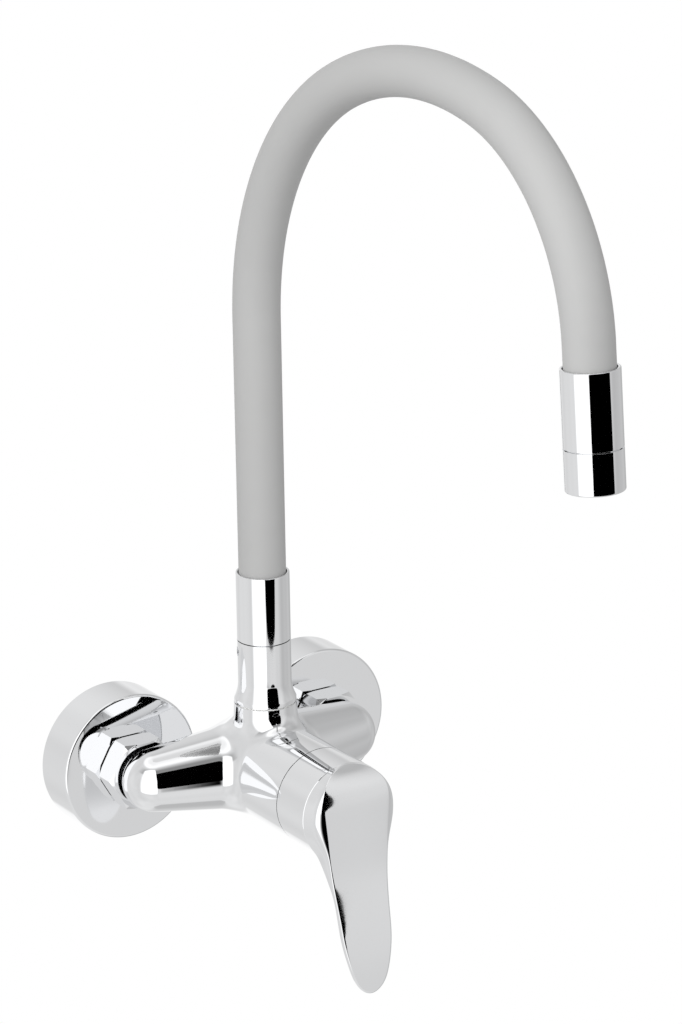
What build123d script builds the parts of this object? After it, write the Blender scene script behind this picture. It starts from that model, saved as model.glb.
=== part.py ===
from build123d import *
import math
import os

# Wall-mounted single-lever sink mixer with a bendable silicone-covered spout.
# X runs across the wall, Y = 0 is the finished wall with the room on the -Y side, Z is up.
# The origin lies on the wall, midway between the hot and cold inlets. Sizes in millimetres.

# Clearances
thread_gap = 0.05
running_gap = 0.1
slip_gap = 0.3
sleeve_gap = 0.35
ball_gap = 0.12
lever_gap = 0.35

# Wall connections
inlet_spacing = 100.0
supply_thread_radius = 10.48
supply_thread_length = 13.0
supply_bore_radius = 7.5
union_thread_radius = 13.22
union_thread_length = 8.0
union_hex_flats = 30.0
union_hex_length = 6.0
union_barrel_radius = 11.6
flange_radius = 33.4
flange_depth = 20.9
flange_wall = 1.4
flange_edge = 0.8
nut_flats = 30.0
nut_length = 12.0
nut_lip = 2.1
nut_back_gap = 0.7
nut_nose_radius = 15.4
washer_thickness = 2.0
washer_radius = 12.6
tail_flange_thickness = 2.0
tail_flange_radius = 12.9
tail_neck_radius = 10.4
tail_thread_radius = 9.4
tail_thread_length = 8.7
tail_bore_radius = 7.0
body_standoff = 1.7

# Body casting
arm_axis_y = -40.3
arm_end_radius = 14.1
arm_root_y = -47.6
arm_root_inset = 1.5
arm_blend = 10.0
barrel_radius = 22.1
barrel_front_y = -97.7
waterway_radius = 4.5
waterway_drop = 4.5
waterway_turn_y = -50.0
outlet_way_radius = 4.0
outlet_way_rise = 9.0
spout_axis_y = -54.3
neck_top_z = 31.0
neck_top_radius = 13.9
neck_foot_radius = 15.8
neck_blend = 6.0

# Cartridge, stacked from the chamber floor towards the room
cartridge_radius = 17.4
chamber_depth = 23.5
gasket_thickness = 1.2
base_thickness = 4.0
disc_thickness = 3.2
fixed_disc_radius = 13.2
moving_disc_radius = 11.0
carrier_radius = 11.2
carrier_thickness = 3.4
tongue_width = 12.0
tongue_height = 1.6
tongue_length = 13.0
port_radius = 2.9
port_offset = 6.6
rotor_flange_radius = 14.3
rotor_flange_thickness = 2.2
rotor_radius = 12.85
rotor_length = 13.3
housing_shoulder_y = -96.0
housing_neck_radius = 14.6
housing_neck_length = 5.6
pivot_y = -95.0
pivot_pin_radius = 1.5
stem_width = 8.0
stem_front_y = -124.0
stem_ball_radius = 2.5
stem_ball_arm = 6.0
stem_tail_radius = 1.6
lift_angle = 25.0

# Retaining nut and cap ring
nut_ring_radius = 19.3
nut_ring_wall = 1.8
nut_ring_reach = 5.0
nut_ring_lip = 3.0
nut_ring_front = 4.4
nut_ring_notch = 6.0
cap_length = 21.3
cap_wall = 1.5
cap_thread_length = 6.3

# Lever
lever_face_radius = 16.9
lever_face_rise = 2.5
lever_face_depth = 10.5
blade_root_half_width = 16.6
blade_tip_half_width = 9.8
blade_tip_z = -78.6
blade_taper = 1.0
blade_reach = 14.0
blade_rim_blend = 6.0
blade_face_blend = 20.0
lever_edge = 1.5
lever_front = [
    (-119.0, 25.0),
    (-125.6, 19.0),
    (-128.3, 8.0),
    (-129.0, -10.0),
    (-130.6, -29.0),
    (-133.3, -42.0),
    (-135.8, -54.0),
    (-138.0, -70.0),
    (-138.8, -84.0),
]
lever_back = [
    (-121.4, -25.0),
    (-125.6, -37.0),
    (-129.8, -50.0),
    (-133.4, -64.0),
    (-136.0, -84.0),
]
hub_radius = 7.9
hub_reach = 18.2
roof_gap = 0.25
lever_screw_edge = 2.9
lever_screw_radius = 2.5
lever_screw_length = 3.6

# Spout foot
spout_bore_radius = 8.5
spout_bore_floor_z = 5.0
swivel_tail_bottom_z = 9.5
swivel_tail_bore = 5.5
swivel_flange_radius = 9.8
swivel_flange_thickness = 2.3
bearing_thickness = 0.7
bearing_radius = 13.2
seal_height = 1.8
seal_depth = 1.5
lower_seal_z = 20.0
upper_seal_z = 25.0
groove_z = 13.5
groove_height = 4.0
groove_depth = 1.1
retaining_screw_radius = 2.0
base_sleeve_radius = 11.9
base_collar_radius = 13.8
base_collar_height = 1.5
base_flare_height = 8.0
base_sleeve_height = 28.5
sleeve_clamp_height = 10.2
sleeve_screw_radius = 2.0
sleeve_screw_turn = 160.0
ferrule_height = 31.2
ferrule_floor = 4.8
ferrule_wall = 1.1
core_start_rise = 1.0

# Bendable spout: a straight riser and three tangent arcs in the plane X = 0
riser_top_z = 206.5
rise_arc_radius = 128.0
rise_arc_angle = 64.1
crown_arc_radius = 152.3
crown_arc_angle = 38.8
fall_arc_radius = 90.5
fall_arc_angle = 72.7
sleeve_radius = 10.4
sleeve_wall = 1.65
core_radius = 8.4
core_bore = 3.9
core_neck_radius = 4.7
core_ball_radius = 7.0
core_lip = 2.2
core_shoulder = 7.2
water_hose_radius = 3.6
water_hose_wall = 1.0
core_joints = 8
first_joint = 48.0
joint_pitch = 56.0
spigot_length = 5.5

# Outlet, measured along its axis from the end of the last arc
outlet_rim = 8.6
outlet_seam = 39.7
outlet_end = 57.2
outlet_radius = 12.05
outlet_wall = 1.2
core_end = 20.0
adapter_shoulder = 22.6
adapter_thread_length = 6.3
adapter_thread_radius = 10.0
adapter_hose_depth = 11.0
outlet_lip = 1.3
adapter_bore = 7.0
aerator_gasket_thickness = 1.5
aerator_insert_length = 8.0
aerator_lip = 1.7
aerator_lip_radius = 9.0
spray_hole_radius = 0.9
spray_hole_pitch = 3.4

os.makedirs("parts", exist_ok=True)

inlet_x = inlet_spacing / 2
arm_root_radius = barrel_radius - arm_root_inset
hex_front_y = -(flange_depth - flange_wall)
union_face_y = hex_front_y - union_thread_length
tail_face_y = union_face_y - washer_thickness
lip_face_y = tail_face_y - tail_flange_thickness
nut_front_y = lip_face_y - nut_lip
nut_back_y = nut_front_y + nut_length
body_back_y = nut_front_y - body_standoff
neck_foot = Plane(origin=(0, spout_axis_y, 0), x_dir=(1, 0, 0), z_dir=(0, -1, 0))
spout_axis = Axis((0, spout_axis_y, 0), (0, 0, 1))
lever_axis = Axis((0, 0, 0), (0, 1, 0))


def turned(points, plane, axis, mode=Mode.ADD):
    """Turn a closed profile of (radius, height) points about an axis."""
    with BuildSketch(plane) as profile:
        with BuildLine():
            Polyline(*points, close=True)
        make_face()
    revolve(profile.sketch, axis=axis, mode=mode)


def keep(piece, name):
    """Label a finished piece and write it under its own name."""
    piece.part.label = name
    export_step(piece.part, "parts/" + name + ".step")


# Wall unions, flanges, nuts, washers and tails, the same on both sides
for side, sign in (("left", -1), ("right", 1)):
    x0 = sign * inlet_x
    inlet_plane = Plane(origin=(x0, 0, 0), x_dir=(1, 0, 0), z_dir=(0, 0, 1))
    inlet_axis = Axis((x0, 0, 0), (0, 1, 0))

    with BuildPart() as wall_union:
        turned(
            [
                (supply_bore_radius, supply_thread_length),
                (supply_thread_radius - 0.8, supply_thread_length),
                (supply_thread_radius, supply_thread_length - 0.8),
                (supply_thread_radius, 0),
                (union_barrel_radius, 0),
                (union_barrel_radius, hex_front_y),
                (union_thread_radius, hex_front_y),
                (union_thread_radius, union_face_y + 0.8),
                (union_thread_radius - 0.8, union_face_y),
                (supply_bore_radius, union_face_y),
            ],
            inlet_plane,
            inlet_axis,
        )
        with BuildSketch(Plane(origin=(x0, hex_front_y + union_hex_length, 0), x_dir=(1, 0, 0), z_dir=(0, -1, 0))):
            RegularPolygon(union_hex_flats / 2, 6, major_radius=False)
            Circle(supply_bore_radius, mode=Mode.SUBTRACT)
        extrude(amount=union_hex_length)
    keep(wall_union, "wall_union_" + side)

    with BuildPart() as wall_flange:
        turned(
            [
                (flange_radius - flange_wall, 0),
                (flange_radius, 0),
                (flange_radius, -flange_depth),
                (union_thread_radius + slip_gap, -flange_depth),
                (union_thread_radius + slip_gap, hex_front_y),
                (flange_radius - flange_wall, hex_front_y),
            ],
            inlet_plane,
            inlet_axis,
        )
        fillet(wall_flange.edges().group_by(Axis.Y)[0].sort_by(SortBy.LENGTH)[-1], flange_edge)
    keep(wall_flange, "wall_flange_" + side)

    with BuildPart() as union_nut:
        with BuildSketch(Plane(origin=(x0, nut_back_y, 0), x_dir=(1, 0, 0), z_dir=(0, -1, 0))):
            RegularPolygon(nut_flats / 2, 6, major_radius=False)
        extrude(amount=nut_length)
        turned(
            [
                (0, nut_back_y),
                (nut_nose_radius + 1.2, nut_back_y),
                (nut_nose_radius + 4.0, nut_back_y - 1.7),
                (nut_nose_radius + 4.0, nut_front_y + 3.4),
                (nut_nose_radius, nut_front_y + 0.9),
                (nut_nose_radius, nut_front_y),
                (0, nut_front_y),
            ],
            inlet_plane,
            inlet_axis,
            Mode.INTERSECT,
        )
        turned(
            [
                (0, nut_back_y),
                (union_thread_radius + thread_gap, nut_back_y),
                (union_thread_radius + thread_gap, lip_face_y),
                (tail_neck_radius + slip_gap, lip_face_y),
                (tail_neck_radius + slip_gap, nut_front_y),
                (0, nut_front_y),
            ],
            inlet_plane,
            inlet_axis,
            Mode.SUBTRACT,
        )
    keep(union_nut, "union_nut_" + side)

    with BuildPart() as inlet_washer:
        turned(
            [
                (supply_bore_radius, union_face_y),
                (washer_radius, union_face_y),
                (washer_radius, tail_face_y),
                (supply_bore_radius, tail_face_y),
            ],
            inlet_plane,
            inlet_axis,
        )
    keep(inlet_washer, "inlet_washer_" + side)

    with BuildPart() as inlet_tail:
        turned(
            [
                (tail_bore_radius, tail_face_y),
                (tail_flange_radius, tail_face_y),
                (tail_flange_radius, lip_face_y),
                (tail_neck_radius, lip_face_y),
                (tail_neck_radius, body_back_y),
                (tail_thread_radius, body_back_y),
                (tail_thread_radius, body_back_y - tail_thread_length),
                (tail_bore_radius, body_back_y - tail_thread_length),
            ],
            inlet_plane,
            inlet_axis,
        )
    keep(inlet_tail, "inlet_tail_" + side)

# Body casting: a barrel with a domed back, two tapered arms with round ends, a neck for the spout
chamber_radius = cartridge_radius + slip_gap - running_gap
chamber_floor_y = barrel_front_y + chamber_depth
nut_ring_back_y = housing_shoulder_y + nut_ring_reach
with BuildPart() as body_casting:
    with BuildSketch(Plane.XY) as barrel_profile:
        with BuildLine():
            Line((0, barrel_front_y), (barrel_radius, barrel_front_y))
            Line((barrel_radius, barrel_front_y), (barrel_radius, arm_root_y))
            CenterArc((0, arm_root_y), barrel_radius, 0, 90)
            Line((0, arm_root_y + barrel_radius), (0, barrel_front_y))
        make_face()
    revolve(axis=lever_axis)
    for sign in (-1, 1):
        arm_end = Vector(sign * inlet_x, arm_axis_y, 0)
        arm_root = Vector(0, arm_root_y, 0)
        run = arm_root - arm_end
        spread = math.asin((arm_root_radius - arm_end_radius) / run.length)
        touch = (-arm_end_radius * math.sin(spread), arm_end_radius * math.cos(spread))
        root_height = touch[1] + (run.length - touch[0]) * math.tan(spread)
        with BuildSketch(Plane(origin=arm_end, x_dir=run.normalized(), z_dir=(0, 0, 1))):
            with BuildLine():
                CenterArc((0, 0), arm_end_radius, 180, -90 + math.degrees(spread))
                Line(touch, (run.length, root_height))
                Line((run.length, root_height), (run.length, 0))
                Line((run.length, 0), (-arm_end_radius, 0))
            make_face()
        revolve(axis=Axis(arm_end, run))
    fillet(body_casting.edges().filter_by(GeomType.BSPLINE), arm_blend)
    with BuildSketch(neck_foot):
        with BuildLine():
            Polyline(
                (0, 0),
                (neck_foot_radius, 0),
                (neck_top_radius, neck_top_z),
                (0, neck_top_z),
                close=True,
            )
        make_face()
    revolve(axis=spout_axis)
    fillet(body_casting.edges(Select.LAST).filter_by(GeomType.BSPLINE), neck_blend)
    # The back of the casting is flat, where the tails screw in
    split(bisect_by=Plane.XZ.offset(-body_back_y), keep=Keep.TOP)
    # Cartridge chamber, open to the front, with the thread for its retaining nut
    turned(
        [
            (0, barrel_front_y),
            (nut_ring_radius + thread_gap, barrel_front_y),
            (nut_ring_radius + thread_gap, nut_ring_back_y + 0.5),
            (chamber_radius, nut_ring_back_y + 0.5),
            (chamber_radius, chamber_floor_y),
            (0, chamber_floor_y),
        ],
        Plane.XY,
        lever_axis,
        Mode.SUBTRACT,
    )
    # Spout bore in the neck
    with Locations((0, spout_axis_y, neck_top_z)):
        Hole(spout_bore_radius, neck_top_z - spout_bore_floor_z)
    # Tail threads and the hot and cold ways to the chamber floor
    for sign in (-1, 1):
        thread_end = Vector(sign * inlet_x, body_back_y - tail_thread_length - slip_gap, 0)
        with BuildSketch(Plane(origin=(sign * inlet_x, body_back_y, 0), x_dir=(1, 0, 0), z_dir=(0, -1, 0))):
            Circle(tail_thread_radius + thread_gap)
        extrude(amount=tail_thread_length + slip_gap, mode=Mode.SUBTRACT)
        way_end = Vector(sign * (port_offset - 1.0), waterway_turn_y, 1.5 - waterway_drop)
        start = Vector(sign * (inlet_x - 1.0), thread_end.Y + 2.0, 0)
        with BuildSketch(Plane(origin=start, z_dir=(way_end - start).normalized())):
            Circle(waterway_radius)
        extrude(amount=(way_end - start).length, mode=Mode.SUBTRACT)
        with BuildSketch(Plane.XZ.offset(-waterway_turn_y)):
            with Locations((sign * port_offset, -waterway_drop)):
                Circle(port_radius)
        extrude(amount=waterway_turn_y - chamber_floor_y + 1.0, mode=Mode.SUBTRACT)
    # Mixed water rises from the chamber floor to the spout bore
    with BuildSketch(Plane.XZ.offset(-spout_axis_y)):
        with Locations((0, outlet_way_rise)):
            Circle(outlet_way_radius)
    extrude(amount=spout_axis_y - chamber_floor_y + 1.0, mode=Mode.SUBTRACT)
    # Threaded hole in the back of the neck for the spout's retaining screw
    screw_z = groove_z + groove_height / 2
    with BuildSketch(Plane(origin=(0, spout_axis_y, screw_z), x_dir=(1, 0, 0), z_dir=(0, 1, 0))):
        Circle(retaining_screw_radius + thread_gap)
    extrude(amount=body_back_y - spout_axis_y + 1.0, mode=Mode.SUBTRACT)
keep(body_casting, "body_casting")

# Cartridge parts
base_back_y = chamber_floor_y - gasket_thickness
fixed_back_y = base_back_y - base_thickness
moving_back_y = fixed_back_y - disc_thickness
carrier_back_y = moving_back_y - disc_thickness
carrier_front_y = carrier_back_y - carrier_thickness
tongue_front_y = carrier_front_y - tongue_height
rotor_back_y = carrier_front_y - running_gap
rotor_step_y = rotor_back_y - rotor_flange_thickness
rotor_front_y = rotor_back_y - rotor_length
shoulder_y = rotor_step_y - running_gap
housing_front_y = housing_shoulder_y - housing_neck_length
disc_room = rotor_flange_radius + running_gap
ports = [(-port_offset, -waterway_drop), (port_offset, -waterway_drop), (0, outlet_way_rise - 1.4)]

with BuildPart() as base_gasket:
    with BuildSketch(Plane.XZ.offset(-chamber_floor_y)):
        Circle(cartridge_radius - 0.8)
        with Locations(*ports):
            Circle(port_radius + 0.5, mode=Mode.SUBTRACT)
    extrude(amount=gasket_thickness)
keep(base_gasket, "base_gasket")

with BuildPart() as cartridge_base:
    with BuildSketch(Plane.XZ.offset(-base_back_y)):
        Circle(cartridge_radius)
        with Locations(*ports):
            Circle(port_radius, mode=Mode.SUBTRACT)
    extrude(amount=base_thickness)
keep(cartridge_base, "cartridge_base")

with BuildPart() as cartridge_housing:
    turned(
        [
            (disc_room, fixed_back_y),
            (cartridge_radius, fixed_back_y),
            (cartridge_radius, housing_shoulder_y),
            (housing_neck_radius, housing_shoulder_y),
            (housing_neck_radius, housing_front_y),
            (rotor_radius + running_gap, housing_front_y),
            (rotor_radius + running_gap, shoulder_y),
            (disc_room, shoulder_y),
        ],
        Plane.XY,
        lever_axis,
    )
keep(cartridge_housing, "cartridge_housing")

with BuildPart() as fixed_disc:
    with BuildSketch(Plane.XZ.offset(-fixed_back_y)):
        Circle(fixed_disc_radius)
        with Locations(*ports):
            Circle(port_radius, mode=Mode.SUBTRACT)
        with Locations((-fixed_disc_radius, 0), (fixed_disc_radius, 0)):
            Rectangle(2.4, 4.0, mode=Mode.SUBTRACT)
    extrude(amount=disc_thickness)
keep(fixed_disc, "fixed_disc")

with BuildPart() as moving_disc:
    with BuildSketch(Plane.XZ.offset(-moving_back_y)):
        Circle(moving_disc_radius)
    extrude(amount=disc_thickness)
    # Mixing pocket on the side that faces the fixed disc
    with BuildSketch(Plane.XZ.offset(-moving_back_y)):
        with Locations((0, 2.6)):
            SlotCenterToCenter(7.0, 8.0)
    extrude(amount=disc_thickness / 2, mode=Mode.SUBTRACT)
keep(moving_disc, "moving_disc")

ball_y = pivot_y + stem_ball_arm
with BuildPart() as disc_carrier:
    with BuildSketch(Plane.XZ.offset(-carrier_back_y)):
        Circle(carrier_radius)
    extrude(amount=carrier_thickness)
    with BuildSketch(Plane.XZ.offset(-carrier_front_y)):
        Rectangle(tongue_width, tongue_length)
    extrude(amount=tongue_height)
    with BuildSketch(Plane.XZ.offset(-tongue_front_y)):
        Circle(stem_ball_radius + running_gap)
    extrude(amount=-(ball_y + stem_ball_radius + slip_gap - tongue_front_y), mode=Mode.SUBTRACT)
keep(disc_carrier, "disc_carrier")

lift_tan = math.tan(math.radians(lift_angle))
slot_high = (pivot_y - rotor_front_y) * lift_tan + stem_width / 2 / math.cos(math.radians(lift_angle)) + slip_gap
slot_low = stem_ball_arm * math.sin(math.radians(lift_angle)) + stem_ball_radius + slip_gap
with BuildPart() as rotor:
    with BuildSketch(Plane.XZ.offset(-rotor_back_y)):
        Circle(rotor_flange_radius)
    extrude(amount=rotor_flange_thickness)
    with BuildSketch(Plane.XZ.offset(-rotor_step_y)):
        Circle(rotor_radius)
    extrude(amount=rotor_step_y - rotor_front_y)
    # Groove for the carrier's tongue, open along the slide
    with BuildSketch(Plane.XZ.offset(-rotor_back_y)):
        Rectangle(tongue_width + 2 * running_gap, 2 * rotor_flange_radius + 1)
    extrude(amount=tongue_height, mode=Mode.SUBTRACT)
    # Slot that the stem swings in
    with BuildSketch(Plane.XZ.offset(-rotor_back_y)):
        with Locations((0, (slot_high - slot_low) / 2)):
            Rectangle(stem_width + 2 * running_gap, slot_high + slot_low)
    extrude(amount=rotor_length, mode=Mode.SUBTRACT)
    with BuildSketch(Plane(origin=(-rotor_radius, pivot_y, 0), x_dir=(0, 1, 0), z_dir=(1, 0, 0))):
        Circle(pivot_pin_radius)
    extrude(amount=2 * rotor_radius, mode=Mode.SUBTRACT)
keep(rotor, "rotor")

with BuildPart() as pivot_pin:
    with BuildSketch(Plane(origin=(1.0 - rotor_radius, pivot_y, 0), x_dir=(0, 1, 0), z_dir=(1, 0, 0))):
        Circle(pivot_pin_radius)
    extrude(amount=2 * rotor_radius - 2.0)
keep(pivot_pin, "pivot_pin")

with BuildPart() as stem:
    with BuildSketch(Plane.XZ.offset(-pivot_y)):
        Rectangle(stem_width, stem_width)
    extrude(amount=pivot_y - stem_front_y)
    chamfer(stem.edges().group_by(Axis.Y)[0], 0.8)
    with BuildSketch(Plane(origin=(-stem_width / 2, pivot_y, 0), x_dir=(0, 1, 0), z_dir=(1, 0, 0))):
        Circle(stem_width / 2)
    extrude(amount=stem_width)
    with BuildSketch(Plane.XZ.offset(-ball_y)):
        Circle(stem_tail_radius)
    extrude(amount=stem_ball_arm)
    with Locations((0, ball_y, 0)):
        Sphere(stem_ball_radius)
    with BuildSketch(Plane(origin=(-stem_width / 2, pivot_y, 0), x_dir=(0, 1, 0), z_dir=(1, 0, 0))):
        Circle(pivot_pin_radius + thread_gap)
    extrude(amount=stem_width, mode=Mode.SUBTRACT)
keep(stem, "stem")

nut_ring_front_y = housing_shoulder_y - nut_ring_lip - nut_ring_front
with BuildPart() as cartridge_nut:
    turned(
        [
            (nut_ring_radius - nut_ring_wall, nut_ring_back_y),
            (nut_ring_radius, nut_ring_back_y),
            (nut_ring_radius, nut_ring_front_y),
            (nut_ring_radius - nut_ring_wall, nut_ring_front_y),
            (nut_ring_radius - nut_ring_wall, housing_shoulder_y - nut_ring_lip),
            (housing_neck_radius + running_gap, housing_shoulder_y - nut_ring_lip),
            (housing_neck_radius + running_gap, housing_shoulder_y),
            (nut_ring_radius - nut_ring_wall, housing_shoulder_y),
        ],
        Plane.XY,
        lever_axis,
    )
    # Notches for the fitting key
    with BuildSketch(Plane.XZ.offset(-nut_ring_front_y)):
        with PolarLocations(nut_ring_radius - 0.5 * nut_ring_wall, 4):
            Rectangle(2 * nut_ring_wall, nut_ring_notch)
    extrude(amount=-nut_ring_front, mode=Mode.SUBTRACT)
keep(cartridge_nut, "cartridge_nut")

# Cap ring: its front edge lies on a sphere about the lever's pivot
cap_front_y = barrel_front_y - cap_length
swing_radius = math.hypot(pivot_y - cap_front_y, barrel_radius)
cap_lip_angle = math.asin((barrel_radius - cap_wall) / swing_radius)
with BuildPart() as cap_ring:
    turned(
        [
            (nut_ring_radius + thread_gap, barrel_front_y),
            (barrel_radius, barrel_front_y),
            (barrel_radius, cap_front_y - 3.0),
            (barrel_radius - cap_wall, cap_front_y - 3.0),
            (barrel_radius - cap_wall, barrel_front_y - cap_thread_length),
            (nut_ring_radius + thread_gap, barrel_front_y - cap_thread_length),
        ],
        Plane.XY,
        lever_axis,
    )
    with Locations((0, pivot_y, 0)):
        Sphere(swing_radius, mode=Mode.INTERSECT)
keep(cap_ring, "cap_ring")

# Lever: a round head over the cap ring and a thin blade that hangs from it
rim_y = cap_front_y - lever_gap
face_y = rim_y - lever_face_depth
roof_y = pivot_y - (swing_radius + roof_gap) * math.cos(cap_lip_angle - math.radians(lift_angle))
hub_back_y = roof_y + hub_reach
lever_screw_y = hub_back_y - lever_screw_radius - lever_screw_edge
outlines = []
for plane_y, head, rise, inset, blend in (
    (rim_y, barrel_radius, 0, blade_taper, blade_rim_blend),
    (face_y, lever_face_radius, lever_face_rise, 0, blade_face_blend),
):
    root = blade_root_half_width - inset
    tip = blade_tip_half_width - inset
    with BuildSketch(Plane.XZ.offset(-plane_y)) as outline:
        with Locations((0, rise)):
            Circle(head)
        with BuildLine():
            Line((-root, 0), (root, 0))
            Line((root, 0), (tip, blade_tip_z + inset + tip))
            ThreePointArc(
                (tip, blade_tip_z + inset + tip),
                (0, blade_tip_z + inset),
                (-tip, blade_tip_z + inset + tip),
            )
            Line((-tip, blade_tip_z + inset + tip), (-root, 0))
        make_face()
        corners = [v for v in outline.vertices() if blade_tip_z + tip + 5 < v.Y < rise + 1]
        fillet(corners, blend)
    outlines.append(outline.sketch.face())

# The blade's flanks keep the taper of the outlines as far as its thin tip
taper_reach = blade_taper * blade_reach / lever_face_depth
flanks = []
for plane_y, inset in ((rim_y, blade_taper), (face_y - blade_reach, -taper_reach)):
    root = blade_root_half_width - inset
    tip = blade_tip_half_width - inset
    with BuildSketch(Plane.XZ.offset(-plane_y)) as flank:
        with BuildLine():
            Line((-root, 0), (root, 0))
            Line((root, 0), (tip, blade_tip_z + inset + tip))
            ThreePointArc(
                (tip, blade_tip_z + inset + tip),
                (0, blade_tip_z + inset),
                (-tip, blade_tip_z + inset + tip),
            )
            Line((-tip, blade_tip_z + inset + tip), (-root, 0))
        make_face()
    flanks.append(flank.sketch.face())

swing_room = swing_radius + lever_gap
with BuildPart() as lever_handle:
    loft(outlines, ruled=True)
    loft(flanks, ruled=True)
    # Side profile: the face leans forward towards the tip
    with BuildSketch(Plane(origin=(-30, 0, 0), x_dir=(0, 1, 0), z_dir=(1, 0, 0))):
        with BuildLine():
            Spline(*lever_front)
            Line(lever_front[-1], lever_back[-1])
            Spline(*lever_back[::-1])
            Polyline(lever_back[0], (-118.0, -21.0), (-118.0, 25.0), lever_front[0])
        make_face()
    extrude(amount=60, mode=Mode.INTERSECT)
    front_faces = [
        f for f in lever_handle.faces().filter_by(GeomType.EXTRUSION) if f.normal_at().Y < -0.9
    ]
    fillet(front_faces[0].edges(), lever_edge)
    # Room for the cap ring, on a sphere about the pivot
    with BuildSketch(Plane.XY):
        roof_radius = math.sqrt(swing_room**2 - (pivot_y - roof_y) ** 2)
        roof_angle = math.degrees(math.atan2(roof_y - pivot_y, roof_radius))
        with BuildLine():
            Line((0, roof_y), (roof_radius, roof_y))
            CenterArc((0, pivot_y), swing_room, roof_angle, -roof_angle)
            Line((swing_room, pivot_y), (0, pivot_y))
            Line((0, pivot_y), (0, roof_y))
        make_face()
    revolve(axis=lever_axis, mode=Mode.SUBTRACT)
    with BuildSketch(Plane.XZ.offset(-hub_back_y)):
        Circle(hub_radius)
    extrude(amount=hub_reach + 0.2)
    with BuildSketch(Plane.XZ.offset(-hub_back_y)):
        Rectangle(stem_width + running_gap, stem_width + running_gap)
    extrude(amount=hub_back_y - stem_front_y + 0.2, mode=Mode.SUBTRACT)
    with BuildSketch(Plane(origin=(0, lever_screw_y, 0), x_dir=(1, 0, 0), z_dir=(0, 0, -1))):
        Circle(lever_screw_radius + thread_gap)
    extrude(amount=hub_radius + 1.0, mode=Mode.SUBTRACT)
keep(lever_handle, "lever_handle")

with BuildPart() as lever_set_screw:
    screw_tip = Plane(origin=(0, lever_screw_y, -stem_width / 2 - thread_gap), x_dir=(1, 0, 0), z_dir=(0, 0, -1))
    with BuildSketch(screw_tip):
        Circle(lever_screw_radius)
    extrude(amount=lever_screw_length)
    with BuildSketch(screw_tip.offset(lever_screw_length)):
        RegularPolygon(1.25, 6, major_radius=False)
    extrude(amount=-1.8, mode=Mode.SUBTRACT)
keep(lever_set_screw, "lever_set_screw")

# Spout foot: the swivel tail runs down into the neck and carries the sleeve and the ferrule
bearing_top_z = neck_top_z + bearing_thickness
sleeve_top_z = bearing_top_z + base_sleeve_height
ferrule_floor_z = sleeve_top_z + ferrule_floor
ferrule_top_z = sleeve_top_z + ferrule_height
core_start_z = ferrule_floor_z + core_start_rise
flange_top_z = bearing_top_z + swivel_flange_thickness
clamp_z = sleeve_top_z - sleeve_clamp_height
seal_radius = core_radius - seal_depth
tail_wall_gap = core_radius + thread_gap
foot_plane = Plane(origin=(0, spout_axis_y, 0), x_dir=(1, 0, 0), z_dir=(0, -1, 0))

with BuildPart() as bearing_ring:
    turned(
        [
            (spout_bore_radius + running_gap, neck_top_z),
            (bearing_radius, neck_top_z),
            (bearing_radius, bearing_top_z),
            (spout_bore_radius + running_gap, bearing_top_z),
        ],
        foot_plane,
        spout_axis,
    )
keep(bearing_ring, "bearing_ring")

with BuildPart() as swivel_tail:
    turned(
        [
            (swivel_tail_bore, swivel_tail_bottom_z),
            (core_radius - 0.6, swivel_tail_bottom_z),
            (core_radius, swivel_tail_bottom_z + 0.6),
            (core_radius, groove_z),
            (core_radius - groove_depth, groove_z),
            (core_radius - groove_depth, groove_z + groove_height),
            (core_radius, groove_z + groove_height),
            (core_radius, lower_seal_z),
            (seal_radius, lower_seal_z),
            (seal_radius, lower_seal_z + seal_height),
            (core_radius, lower_seal_z + seal_height),
            (core_radius, upper_seal_z),
            (seal_radius, upper_seal_z),
            (seal_radius, upper_seal_z + seal_height),
            (core_radius, upper_seal_z + seal_height),
            (core_radius, bearing_top_z),
            (swivel_flange_radius, bearing_top_z),
            (swivel_flange_radius, flange_top_z),
            (core_radius, flange_top_z),
            (core_radius, core_start_z),
            (swivel_tail_bore, core_start_z),
        ],
        foot_plane,
        spout_axis,
    )
keep(swivel_tail, "swivel_tail")

for name, seal_z in (("tail_seal_lower", lower_seal_z), ("tail_seal_upper", upper_seal_z)):
    with BuildPart() as tail_seal:
        turned(
            [
                (seal_radius, seal_z),
                (spout_bore_radius - thread_gap, seal_z),
                (spout_bore_radius - thread_gap, seal_z + seal_height),
                (seal_radius, seal_z + seal_height),
            ],
            foot_plane,
            spout_axis,
        )
    keep(tail_seal, name)

with BuildPart() as spout_retaining_screw:
    tip_y = spout_axis_y + core_radius - groove_depth + slip_gap
    head_y = body_back_y - 1.0
    with BuildSketch(Plane(origin=(0, tip_y, screw_z), x_dir=(1, 0, 0), z_dir=(0, 1, 0))):
        Circle(retaining_screw_radius)
    extrude(amount=head_y - tip_y)
    with BuildSketch(Plane(origin=(0, head_y, screw_z), x_dir=(1, 0, 0), z_dir=(0, 1, 0))):
        RegularPolygon(1.0, 6, major_radius=False)
    extrude(amount=-1.6, mode=Mode.SUBTRACT)
keep(spout_retaining_screw, "spout_retaining_screw")

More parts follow.
